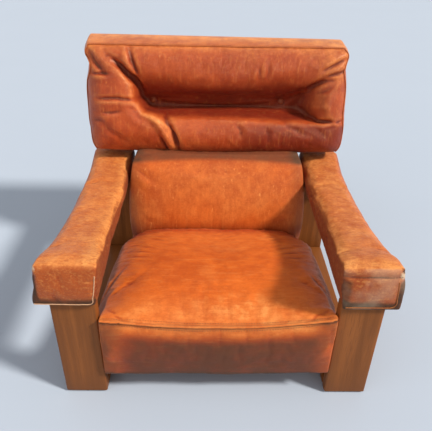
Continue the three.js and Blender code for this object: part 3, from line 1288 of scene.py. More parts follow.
@dataclass
class HeadCushion:
    """The wide tufted cushion at the top of the back.

    Attributes:
        half: Half its nominal width.
        foot: Height on the back plane of its lower front edge.
        top: Height of its upper front seam.
        foot_back: Height of its lower rear edge.
        top_back: Height of its upper rear edge.
        sag: How much lower its foot hangs at mid-width.
        clear: How far its rear stands off the plane.
        end_round: The rounding of its ends.
        groove: Height of the valley's bottom.
        tuft: The radius of a button's dimple.
        cells: Mesh cells across, through and up.
    """

    half: float = 0.430
    foot: float = 0.209
    top: float = 0.551
    foot_back: float = 0.228
    top_back: float = 0.585
    sag: float = 0.007
    clear: float = 0.0006
    end_round: float = 0.052
    groove: float = 0.356
    tuft: float = 0.016
    cells: tuple[int, int, int] = (150, 10, 64)

    # The front's profile at mid-width and at the ends: height on the plane, distance out of it.
    MIDDLE = ((0.204, 0.092), (0.222, 0.117), (0.248, 0.135), (0.277, 0.139), (0.297, 0.134),
              (0.313, 0.117), (0.325, 0.082), (0.338, 0.046), (0.354, 0.030), (0.374, 0.034),
              (0.396, 0.046), (0.416, 0.061), (0.434, 0.080), (0.450, 0.099), (0.466, 0.113),
              (0.486, 0.122), (0.507, 0.124), (0.530, 0.117), (0.551, 0.099))
    ENDS = ((0.204, 0.092), (0.226, 0.116), (0.260, 0.131), (0.320, 0.138), (0.400, 0.136),
            (0.450, 0.129), (0.500, 0.119), (0.530, 0.112), (0.551, 0.099))
    # The outline of each end: height on the plane, half-width.
    LEFT_SIDE = ((0.204, 0.413), (0.238, 0.423), (0.359, 0.433), (0.430, 0.434), (0.486, 0.419),
                 (0.530, 0.435), (0.551, 0.425))
    RIGHT_SIDE = ((0.204, 0.412), (0.225, 0.421), (0.352, 0.422), (0.430, 0.423), (0.483, 0.414),
                  (0.535, 0.424), (0.551, 0.412))
    # The lines where the valley's two ends rise: across, height on the plane.
    LEFT_END = ((-0.385, 0.560), (-0.345, 0.505), (-0.305, 0.470), (-0.277, 0.432),
                (-0.266, 0.385), (-0.240, 0.345), (-0.188, 0.322), (-0.160, 0.298),
                (-0.143, 0.262), (-0.126, 0.215), (-0.120, 0.180))
    RIGHT_END = ((0.420, 0.560), (0.400, 0.500), (0.360, 0.450), (0.338, 0.410),
                 (0.332, 0.365), (0.345, 0.325), (0.400, 0.250), (0.420, 0.180))

    # Each fold's line across and up, then its depth, half-width and ridge.
    FOLDS = (
        Fold(((-0.352, 0.516), (-0.312, 0.482), (-0.272, 0.440), (-0.252, 0.410)),
             0.020, 0.010, -0.004),
        Fold(((-0.288, 0.540), (-0.280, 0.505), (-0.260, 0.450)), 0.012, 0.008, -0.010),
        Fold(((-0.428, 0.540), (-0.402, 0.500), (-0.366, 0.458)), 0.011, 0.011, 0.004),
        Fold(((-0.412, 0.460), (-0.385, 0.462), (-0.354, 0.462)), 0.007, 0.006, -0.004),
        Fold(((-0.398, 0.382), (-0.335, 0.385), (-0.258, 0.378)), 0.007, 0.007, -0.004),
        Fold(((-0.395, 0.340), (-0.350, 0.338), (-0.310, 0.345)), 0.003, 0.008, -0.002),
        Fold(((-0.176, 0.326), (-0.158, 0.296), (-0.143, 0.258), (-0.128, 0.208)),
             0.018, 0.008, 0.0),
        Fold(((-0.234, 0.336), (-0.198, 0.306), (-0.172, 0.264), (-0.150, 0.214)),
             -0.011, 0.013, 0.0),
        Fold(((-0.190, 0.262), (-0.178, 0.236), (-0.166, 0.200)), 0.009, 0.006, 0.0),
        Fold(((-0.392, 0.315), (-0.354, 0.275), (-0.291, 0.232)), 0.004, 0.012, 0.003),
        Fold(((0.225, 0.395), (0.292, 0.418), (0.340, 0.442), (0.392, 0.458)),
             0.005, 0.009, 0.006),
        Fold(((0.318, 0.405), (0.345, 0.412), (0.382, 0.436)), 0.003, 0.007, 0.004),
        Fold(((0.215, 0.318), (0.236, 0.300), (0.262, 0.290), (0.290, 0.270)),
             0.005, 0.009, 0.003),
        Fold(((0.300, 0.322), (0.340, 0.318), (0.400, 0.316)), 0.005, 0.007, -0.004),
        Fold(((0.348, 0.482), (0.382, 0.500), (0.416, 0.518)), 0.007, 0.006, 0.004),
        Fold(((0.354, 0.462), (0.388, 0.471), (0.420, 0.482)), 0.007, 0.006, 0.004),
        Fold(((0.130, 0.440), (0.134, 0.466), (0.135, 0.496)), 0.003, 0.006, 0.002),
        Fold(((0.160, 0.446), (0.164, 0.474), (0.163, 0.510)), 0.003, 0.006, 0.002),
        Fold(((0.055, 0.318), (0.075, 0.290), (0.082, 0.250)), 0.003, 0.010, 0.002),
        Fold(((0.155, 0.305), (0.170, 0.275), (0.172, 0.235)), 0.004, 0.010, 0.003),
    )
    # How far a button lies from mid-width, and its height.
    BUTTON = (0.222, 0.373)

    def face(self, x: Array, up: Array) -> Array:
        """How far the front face stands out of the back plane, small folds left out.

        Args:
            x: Places across the chair.
            up: Heights on the back plane.

        Returns:
            One distance for each point.
        """
        droop = 0.014 * bell(x - 0.02, 0.16) * bell(up - 0.435, 0.04)
        tilt = 0.012 * ramp(0.02, 0.28, x) * bell(up - 0.325, 0.05)
        middle = curve_through(self.MIDDLE, up + droop + tilt)
        ends = curve_through(self.ENDS, up)
        gap, _, side = path_distance(x, up, self.LEFT_END)
        left = ramp(0.010, -0.012, np.sign(side) * gap)
        gap, _, side = path_distance(x, up, self.RIGHT_END)
        right = ramp(-0.048, 0.030, np.sign(side) * gap)
        share = np.clip(left + right, 0.0, 1.0)
        puffed = middle + (ends - middle) * share
        seam = curve_through(((self.foot, 0.086), (0.380, 0.084), (0.500, 0.088),
                              (self.top, 0.099)), up)
        inset = self.half - np.abs(x)
        edge = np.sqrt(1.0 - (1.0 - np.clip(inset / self.end_round, 0.0, 1.0)) ** 2)
        return seam + (puffed - seam) * edge

    def wide(self, a: Array, up: Array) -> Array:
        """Half the width at a height, on the side that a's sign gives."""
        left, right = curve_through(self.LEFT_SIDE, up), curve_through(self.RIGHT_SIDE, up)
        return np.where(a < 0, left, right)

    def shape(self, piece: Piece) -> None:
        """Moves a grid box to the cushion's form.

        Args:
            piece: The grid box.
        """
        a, d, b = get_points(piece).T
        up01, out01 = (b + 1) / 2, (1 - d) / 2
        front_up = self.foot + (self.top - self.foot) * up01
        back_up = self.foot_back + (self.top_back - 0.003 * a - self.foot_back) * up01
        up = back_up + (front_up - back_up) * out01
        lid = np.where(b > 0.999, 0.005, 0.0) * 4 * out01 * (1 - out01) * (1 - a**8)
        sag = self.sag * (1 - a**2) * (1 - up01) ** 4 * out01
        boxing = 1.0 + 0.010 * (4 * out01 * (1 - out01)) * (np.abs(a) > 0.999)
        x = a * (self.wide(a, front_up) + 0.008 * (1 - out01) * up01) * boxing
        under = 0.010 * bell(front_up - 0.430, 0.018) * (np.abs(x - 0.02) < 0.28) * out01
        out = self.clear + (self.face(x, front_up) - self.clear) * out01
        set_points(piece, PLANE.place(x, out, up + lid - sag - under))

    def sculpt(self, piece: Piece) -> None:
        """Presses in the folds and the buttons' dimples.

        Args:
            piece: The cushion.
        """
        points = get_points(piece)
        x, out, up = PLANE.read(points)
        facing = get_normals(piece) @ PLANE.out
        front = ramp(0.02, 0.35, facing) * ramp(0.020, 0.034, out)
        relief = sum(fold.relief(x, up) for fold in self.FOLDS)
        for side in Side:
            reach = np.hypot(x - side.value * self.BUTTON[0], up - self.BUTTON[1])
            relief -= 0.008 * bell(reach, self.tuft)
        crinkle = crinkles(x, up, 0.012, 0.09, 3.0)
        relief += 0.0005 * crinkle * bell(up - 0.520, 0.035)
        brow = bell(up - 0.440, 0.025) * ramp(0.30, 0.12, np.abs(x))
        relief += 0.0008 * crinkles(x, up, 0.022, 0.05, 4.0) * brow
        relief += 0.0004 * crinkles(x, up, 0.016, 0.06, 5.0) * bell(up - 0.250, 0.06)
        relief += 0.0013 * cloud(points, 11.0, 2, 1.0)
        push(piece, relief * front)

    def seam_line(self) -> list[Vector]:
        """The seam round the front face: up one side, across the top and down the other.

        Returns:
            The seam's points.
        """
        inset, rise, run = 0.001, 60, 160
        ups = np.linspace(self.foot, self.top, rise)
        shares = np.linspace(-1.0, 1.0, run)[1:-1]
        share = np.concatenate([np.full(rise, -1.0), shares, np.full(rise, 1.0)])
        up = np.concatenate([ups, np.full(run - 2, self.top), ups[::-1]])
        x = share * (self.wide(share, up) - inset)
        return [Vector(p) for p in PLANE.place(x, self.face(x, up), up)]

    def build(self, wardrobe: Wardrobe) -> None:
        """Makes the cushion, its seams and its buttons.

        Args:
            wardrobe: The chair's finishes.
        """
        piece = grid_box("head_cushion", self.cells)
        self.shape(piece)
        x, out, up = PLANE.read(get_points(piece))
        seam = (np.abs(up - self.top) < 0.004) & (out > 0.08)
        flat = out < 0.002
        low = (np.abs(up - self.foot) < 0.004) & (out > 0.05)
        tuft = np.hypot(np.abs(x) - self.BUTTON[0], up - self.BUTTON[1]) < self.tuft
        groove = (np.abs(up - self.groove) < 0.006) & (np.abs(x) < 0.26)
        lid = up > self.top + 0.004
        held = np.flatnonzero(seam | flat | low | lid | ((tuft | groove) & (out > 0.02)))
        Upholstery(cap=0.010, pressure=3.0, slack=0.004).puff(piece, held)
        subdivide_once(piece)
        self.sculpt(piece)
        tree = skin_of(piece)
        path, _ = laid_on(tree, resample(self.seam_line(), 0.004), 0.0002)
        pinch(piece, path)
        self.paint(piece)
        shade_smooth(piece)
        settle(piece, wardrobe.head, "cushion_leather", "head_cover", "head_foam", fill=0.8)
        settle(leather_cord("head_seam_cord", path, 0.0017), wardrobe.head, "cushion_leather")
        self.stitches(tree, wardrobe)
        self.buttons(tree, wardrobe)

    def paint(self, piece: Piece) -> None:
        """Paints rubbing and painted highlights where it stands proud, soiling and painted shade
        where it lies deep.

        Args:
            piece: The cushion.
        """
        points = get_points(piece)
        x, out, up = PLANE.read(points)
        ridge, crease, dirt_and_shade = relief_marks(piece)
        facing = get_normals(piece) @ PLANE.out
        rough = cloud(points, 9.0, 4, 2.0)
        # The top panel and the top seam's edge are lightened: partly rubbing, partly a painted
        # highlight where the top faces the light.
        lid = ramp(0.5, 0.15, facing) * ramp(0.535, 0.56, up)
        # A painted highlight on the upper right end.
        shine = bell(x - 0.375, 0.05) * bell(up - 0.50, 0.05)
        # A painted highlight along the ridge where the valley's left end rises.
        gap, _, side = path_distance(x, up, self.LEFT_END)
        ridge_highlight = bell(np.sign(side) * gap + 0.013, 0.009) * ramp(-0.6, 0.4, rough) * (
            ramp(0.54, 0.50, up) * ramp(0.3, 0.6, facing))
        paint(piece, "wear_and_highlight", 1.5 * lid + 0.35 * ridge + 0.35 * shine + 0.50 * ridge_highlight
              + 0.16 * ramp(0.1, 0.8, rough) + 0.35 * bell(up - 0.550, 0.018))
        # Painted shade: the valley and the underside of the upper roll above it, and the lower
        # roll's right part.
        across = ramp(-0.30, -0.24, x) * ramp(0.36, 0.28, x)
        valley = ramp(0.122, 0.085, out) * ramp(0.296, 0.316, up) * ramp(
            0.482, 0.452, up) * across
        shaded = 0.9 * ramp(0.02, 0.16, x) * ramp(0.315, 0.295, up)
        paint(piece, "deep", crease + 0.95 * valley + shaded)
        # Soiling in the folds, and painted shade along and under the cushion's lower edge.
        under = ramp(0.5, 0.1, facing) * ramp(0.250, 0.225, up)
        paint(piece, "grime_and_shade", 0.22 * dirt_and_shade + 0.15 * ramp(0.24, 0.21, up) + 0.7 * under)

    def stitches(self, tree: BVHTree, wardrobe: Wardrobe) -> None:
        """Sews one row along the top panel's front edge.

        Args:
            tree: The cushion's surface.
            wardrobe: The chair's finishes.
        """
        xs = np.linspace(-self.half + 0.010, self.half - 0.010, 200)
        line = PLANE.place(xs, np.full(200, 0.0945), np.full(200, self.top + 0.002))
        sew_row("head_top_stitches", tree, [Vector(p) for p in line], 0.0004, "cushion_leather",
                wardrobe.thread)

    def buttons(self, tree: BVHTree, wardrobe: Wardrobe) -> None:
        """Two leather buttons at the bottom of the valley.

        Args:
            tree: The cushion's surface.
            wardrobe: The chair's finishes.
        """
        radius, flat, pleats = 0.011, 0.42, 10
        for side in Side:
            x, up = side.value * self.BUTTON[0], self.BUTTON[1]
            start = Vector(PLANE.place(np.array([x]), np.array([0.2]), np.array([up]))[0])
            place, _, _, _ = tree.ray_cast(start, Vector(-PLANE.out))
            deselect()
            bpy.ops.mesh.primitive_uv_sphere_add(segments=28, ring_count=16, radius=radius)
            piece = bpy.context.active_object
            piece.name = piece.data.name = f"head_tuft_button_{side.word}"
            points = get_points(piece) * (1.0, 1.0, flat)
            edge = np.hypot(points[:, 0], points[:, 1])
            gathers = np.cos(np.arctan2(points[:, 1], points[:, 0]) * pleats)
            points[:, 2] += 0.0008 * gathers * ramp(0.006, radius, edge)
            turn = np.array([[1, 0, 0], -PLANE.up, PLANE.out])
            set_points(piece, points @ turn + np.array(place) + PLANE.out * 0.002)
            # The buttons get painted shade, as they sit deep in the valley.
            even_wear_and_shade(piece, deep=0.9)
            shade_smooth(piece)
            settle(piece, wardrobe.head, "button_leather", f"head_button_{side.word}")


@dataclass
class LumbarCushion:
    """The smooth cushion in the small of the back, between the arms.

    Attributes:
        half: Half its nominal width.
        foot: Height on the back plane of its lower front edge.
        foot_back: Height of its lower rear edge.
        top: Height of its upper front edge.
        top_back: Height of its upper rear edge.
        clear: How far its rear stands off the plane.
        end: Half its width where it bulges most.
        end_round: The rounding of its ends.
        cells: Mesh cells across, through and up.
    """

    half: float = 0.281
    foot: float = -0.120
    foot_back: float = -0.082
    top: float = 0.209
    top_back: float = 0.210
    clear: float = 0.0008
    end: float = 0.297
    end_round: float = 0.045
    cells: tuple[int, int, int] = (96, 26, 60)

    # The front's profile: height on the plane, distance out of it.
    FACE = ((-0.120, 0.150), (-0.090, 0.168), (-0.050, 0.178), (0.020, 0.182), (0.090, 0.178),
            (0.150, 0.168), (0.188, 0.152), (0.209, 0.132))
    # The outline: height on the plane, half-width.
    SIDES = ((-0.120, 0.288), (-0.040, 0.296), (0.050, 0.297), (0.120, 0.291), (0.175, 0.284),
             (0.209, 0.274))
    FOLDS = (
        Fold(((-0.262, 0.010), (-0.235, -0.018), (-0.190, -0.030)), 0.0010, 0.008, 0.001),
        Fold(((0.205, -0.026), (0.245, -0.006), (0.268, 0.030)), 0.0012, 0.008, 0.001),
    )

    def face(self, x: Array, up: Array) -> Array:
        """How far the front face stands out of the back plane.

        Args:
            x: Places across the chair.
            up: Heights on the back plane.

        Returns:
            One distance for each point.
        """
        across = np.abs(x) / self.half
        crown = curve_through(self.FACE, up)
        inset = np.clip((self.end - np.abs(x)) / self.end_round, 0.0, 1.0)
        fall = np.sqrt(1.0 - (1.0 - inset) ** 2)
        return crown * (0.76 + 0.24 * fall) + 0.006 * (1 - across**2) - 0.004

    def shape(self, piece: Piece) -> None:
        """Moves a grid box to the cushion's form.

        Args:
            piece: The grid box.
        """
        a, d, b = get_points(piece).T
        up01, out01 = (b + 1) / 2, (1 - d) / 2
        front_up = self.foot + (self.top - self.foot) * up01
        back_up = self.foot_back + (self.top_back - self.foot_back) * up01
        up = back_up + (front_up - back_up) * out01
        bulge = 1.0 - 0.022 * ramp(0.45, 0.0, out01)
        squeezed = curve_through(self.SIDES, front_up) + 0.004 * (a > 0)
        x = a * squeezed * bulge
        face = self.face(a * self.half, front_up)
        out = self.clear + (face - self.clear) * out01
        set_points(piece, PLANE.place(x, out, up))

    def build(self, wardrobe: Wardrobe) -> None:
        """Makes the cushion.

        Args:
            wardrobe: The chair's finishes.
        """
        piece = grid_box("lumbar_cushion", self.cells)
        self.shape(piece)
        x, out, up = PLANE.read(get_points(piece))
        edges = np.abs(x) > self.half - 0.002
        held = np.flatnonzero((out < 0.003) | edges | (up < self.foot_back - 0.02))
        Upholstery(cap=0.008, pressure=2.5, slack=0.004).puff(piece, held)
        subdivide_once(piece)
        points = get_points(piece)
        x, out, up = PLANE.read(points)
        front = ramp(0.1, 0.6, get_normals(piece) @ PLANE.out)
        relief = sum(fold.relief(x, up) for fold in self.FOLDS)
        relief += 0.0018 * cloud(points, 6.5, 2, 4.0)
        push(piece, relief * front)
        self.paint(piece)
        shade_smooth(piece)
        settle(piece, wardrobe.lumbar, "cushion_leather", "lumbar_cover", "lumbar_foam", fill=0.7)

    def paint(self, piece: Piece) -> None:
        """Paints soft rubbing over the crown, a painted shadow along the top under the head
        cushion, and darkens the ends and the foot.

        Args:
            piece: The cushion.
        """
        points = get_points(piece)
        x, _, up = PLANE.read(points)
        ridge, crease, _ = relief_marks(piece)
        rough = cloud(points, 7.0, 4, 5.0)
        crown = bell(x, 0.22) * bell(up - 0.09, 0.11)
        paint(piece, "wear_and_highlight", 0.30 * crown + 0.25 * ramp(0.0, 0.7, rough) + 0.2 * ridge)
        # Painted shade in the creases, darker towards the foot, and a painted shadow across the
        # top.
        paint(piece, "deep", crease + 0.5 * ramp(-0.02, -0.06, up) + 0.6 * ramp(0.16, 0.205, up))
        # A painted shadow band along the top, where the head cushion overhangs; the ends and the
        # foot are made darker too.
        brow = 0.184 - 0.012 * (x / self.half) ** 2
        ends = ramp(self.half - 0.05, self.half, np.abs(x))
        paint(piece, "grime_and_shade", 0.35 * ends + 0.2 * ramp(0.0, -0.05, up)
              + 0.75 * ramp(brow - 0.004, brow + 0.012, up))


@dataclass
class SeatCushion:
    """The deep seat cushion with its front boxing hanging over the front rail.

    y is counted from the front of the seat cover's box in the model, and z from the floor.

    Attributes:
        half: Half its width.
        cells: Mesh cells across, through and up.
        lip: How deep the part is that hangs in front of the rail.
        bottom: Height of the hanging part's lower edge.
        underside: Height of the rest of its underside.
        seam: Height of the front seam at its lowest.
        rear: Height of the top's rear edge.
    """

    half: float = 0.2985
    cells: tuple[int, int, int] = (88, 76, 24)
    lip: float = 0.044
    bottom: float = 0.0845
    underside: float = 0.1268
    seam: float = 0.262
    rear: float = 0.209

    # How far the top is crowned: depth, height.
    CROWN = ((0.0, 0.000), (0.035, 0.012), (0.10, 0.022), (0.20, 0.027), (0.32, 0.024),
             (0.44, 0.014), (0.52, 0.000))

    def origin(self) -> float:
        """The frame's Y of the seat's front edge."""
        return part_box("seat_cover")[0].y

    @property
    def length(self) -> float:
        """How deep the seat is."""
        low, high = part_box("seat_cover")
        return high.y - low.y

    def seam_height(self, x: Array) -> Array:
        """Height of the sagging front seam.

        Args:
            x: Places across the chair.

        Returns:
            One height for each place.
        """
        share = x / self.half
        lift = np.where(x < 0, 0.018, 0.030) * np.abs(share) ** 2.2
        return self.seam + lift

    def top(self, x: Array, y: Array) -> Array:
        """Height of the crowned top.

        Args:
            x: Places across the chair.
            y: Depths behind the seat's front edge.

        Returns:
            One height for each point.
        """
        t = np.clip(y / self.length, 0.0, 1.0)
        base = self.seam_height(x) * (1 - t) + self.rear * t
        across = np.abs(x) / self.half
        crown = curve_through(self.CROWN, y) * (1 - 0.55 * across**2.5)
        side = -0.026 * across**6 * ramp(0.0, 0.09, y)
        corner = -0.010 * ramp(0.22, 0.30, np.abs(x)) * ramp(0.40, 0.52, y)
        return base + crown + side + corner

    def shape(self, piece: Piece) -> None:
        """Moves a grid box to the seat's form.

        Args:
            piece: The grid box.
        """
        a, d, b = get_points(piece).T
        t, up01 = (d + 1) / 2, (b + 1) / 2
        y = t**1.12 * self.length
        x = a * self.half
        roof = self.top(x, y)
        right = np.clip(a, 0.0, 1.0)
        low_edge = self.bottom + 0.008 * right**2 * np.where(y < self.lip, 1.0, 0.0)
        floor = np.where(y < self.lip - 0.006, low_edge, self.underside)
        z = floor + (roof - floor) * up01
        mid = np.sin(np.pi * np.clip(up01, 0, 1))
        belly = ramp(0.05, 0.13, y) * ramp(0.150, 0.200, z) * mid
        x = x + a**5 * 0.034 * belly
        x = x * (1.0 - 0.04 * ramp(0.44, 0.52, y) ** 2)
        front = (1 - t) ** 14
        bow = 0.010 * mid * (1 - np.abs(a) ** 4) - 0.004 * (1 - up01) ** 2
        y = y - front * bow + 0.004 * ramp(0.8, 1.0, t) * up01
        set_points(piece, np.c_[x, y + self.origin(), z])

    def build(self, wardrobe: Wardrobe) -> None:
        """Makes the seat cushion, its piping and its stitches.

        Args:
            wardrobe: The chair's finishes.
        """
        piece = grid_box("seat_cushion", self.cells)
        self.shape(piece)
        points = get_points(piece)
        y = points[:, 1] - self.origin()
        low = points[:, 2] < self.underside + 0.012
        legs = (np.abs(points[:, 0]) > self.half - 0.004) & (y < 0.125)
        seam = (np.abs(points[:, 2] - self.seam_height(points[:, 0])) < 0.003) & (y < 0.004)
        held = np.flatnonzero(low | legs | seam | (y > self.length - 0.004))
        Upholstery(cap=0.012, pressure=3.0, slack=0.007).puff(piece, held)
        subdivide_once(piece)
        self.sculpt(piece)
        tree = skin_of(piece)
        path, _ = laid_on(tree, self.beside_seam(0.004, 150, -0.002, 0.0), 0.0014)
        pinch(piece, path)
        self.paint(piece)
        shade_smooth(piece)
        settle(piece, wardrobe.seat, "cushion_leather", "seat_cover", "seat_foam", fill=0.75)
        cord = leather_cord("seat_front_piping", path, 0.0031, wear_and_highlight=0.5)
        settle(cord, wardrobe.seat, "cushion_leather", "seat_welt")
        self.stitches(tree, wardrobe)

    def beside_seam(self, inset: float, count: int, back: float, rise: float) -> list[Vector]:
        """A line along the front seam.

        Args:
            inset: How far it stops short of the sides.
            count: How many points it has.
            back: How far behind the seam it runs.
            rise: How far above the seam it runs.

        Returns:
            The line's points.
        """
        xs = np.linspace(-self.half + inset, self.half - inset, count)
        heights = self.seam_height(xs) + rise
        return [Vector((x, self.origin() + back, z)) for x, z in zip(xs, heights)]

    def stitches(self, tree: BVHTree, wardrobe: Wardrobe) -> None:
        """Two rows beside the piping, one on each panel.

        Args:
            tree: The cushion's surface.
            wardrobe: The chair's finishes.
        """
        for word, back, rise in (("top", 0.010, 0.004), ("front", -0.010, -0.009)):
            sew_row(f"seat_{word}_stitches", tree, self.beside_seam(0.010, 120, back, rise), HAIR,
                    "cushion_leather", wardrobe.thread)

    def sculpt(self, piece: Piece) -> None:
        """Wrinkles of the worn top, strongest at the back corners and the sides.

        Args:
            piece: The cushion.
        """
        points = get_points(piece)
        x, z = points[:, 0], points[:, 2]
        y = points[:, 1] - self.origin()
        normals = get_normals(piece)
        lying = ramp(0.35, 0.8, normals[:, 2]) * ramp(0.16, 0.2, z)
        slant = y * 0.90 - np.abs(x) * 0.44
        level = y * 0.44 + np.abs(x) * 0.90
        fine = crinkles(slant, level, 0.011, 0.075, 6.0)
        broad = crinkles(slant, level, 0.030, 0.120, 7.0)
        sides = ramp(0.14, 0.27, np.abs(x)) * ramp(0.06, 0.20, y)
        rear = ramp(0.28, 0.46, y) * 0.55
        relief = (0.0011 * fine + 0.0022 * broad) * np.clip(sides + rear, 0.06, 1)
        relief += 0.0040 * cloud(points, 5.0, 3, 7.0)
        push(piece, relief * lying)
        facing = ramp(0.3, 0.8, -get_normals(piece)[:, 1])
        front = 0.0030 * cloud(points, 7.0, 3, 8.0) + 0.0003 * crinkles(z, x, 0.03, 0.14, 9.0)
        corner = ramp(0.21, 0.285, np.abs(x)) * 0.0020 * crinkles(
            np.abs(x) + 0.25 * z, z, 0.042, 0.11, 10.0)
        push(piece, (front + corner) * facing)

    def paint(self, piece: Piece) -> None:
        """Paints the pale front edge, the front darkened by soiling and painted shade, and the
        redder corners.

        Args:
            piece: The cushion.
        """
        points = get_points(piece)
        x, z = points[:, 0], points[:, 2]
        y = points[:, 1] - self.origin()
        ridge, crease, dirt_and_shade = relief_marks(piece)
        normals = get_normals(piece)
        facing = ramp(0.35, 0.75, -normals[:, 1])
        rough = cloud(points, 14.0, 5, 9.0)
        fine = cloud(points, 45.0, 3, 10.0)
        seam = self.seam_height(x)
        top_edge = ramp(0.13, 0.015, y) * (1 - facing)
        band = facing * ramp(seam - 0.045, seam - 0.008, z)
        middle = bell(x - 0.03, 0.19)
        worn = (0.42 * top_edge + 0.55 * band * ramp(0.29, 0.2, np.abs(x))) * (
            0.7 + 0.6 * ramp(-0.3, 0.6, rough))
        patch = 0.55 * bell(x - 0.06, 0.12) * bell(y - 0.06, 0.05) * ramp(0.0, 0.4, fine)
        paint(piece, "wear_and_highlight", worn + patch + 0.16 * ramp(0.1, 0.8, rough)
              + 0.22 * bell(y - 0.42, 0.10) * bell(x, 0.2) + 0.25 * ridge)
        # The front below the seam is darkened partly by soiling and partly by painted shade; the
        # corners and the lower edge are darker still.
        front_dirt_and_shade = facing * ramp(seam - 0.022, seam - 0.060, z) * ramp(
            0.285, 0.215, np.abs(x - 0.01) + 0.02 * rough)
        hem = facing * ramp(self.bottom + 0.016, self.bottom, z)
        below = facing * ramp(seam - 0.018, seam - 0.055, z)
        corners = facing * ramp(0.22, 0.28, np.abs(x))
        # Painted shade: a dark line under the piping, and the side walls painted dark.
        stitched = bell(z - seam + 0.004, 0.0055) * ramp(0.02, 0.0, y)
        shaded_walls = ramp(0.45, 0.80, np.abs(normals[:, 0])) * ramp(0.05, 0.09, y)
        soiled_and_shaded = (0.5 + 0.2 * (x < 0)) * corners * ramp(-0.6, 0.2, rough)
        paint(piece, "grime_and_shade", 0.80 * front_dirt_and_shade + 0.5 * hem + 0.10 * middle * facing
              + 0.7 * stitched + 0.6 * shaded_walls + soiled_and_shaded + 0.25 * dirt_and_shade)
        # Painted shade: in creases, over the front below the seam, along the rear under the lumbar
        # cushion and lower down on the sides.
        paint(piece, "deep", crease + 0.80 * below * (1 - 0.5 * corners)
              + 0.6 * ramp(0.45, 0.51, y) + 0.5 * ramp(0.22, 0.17, z) * (1 - facing))


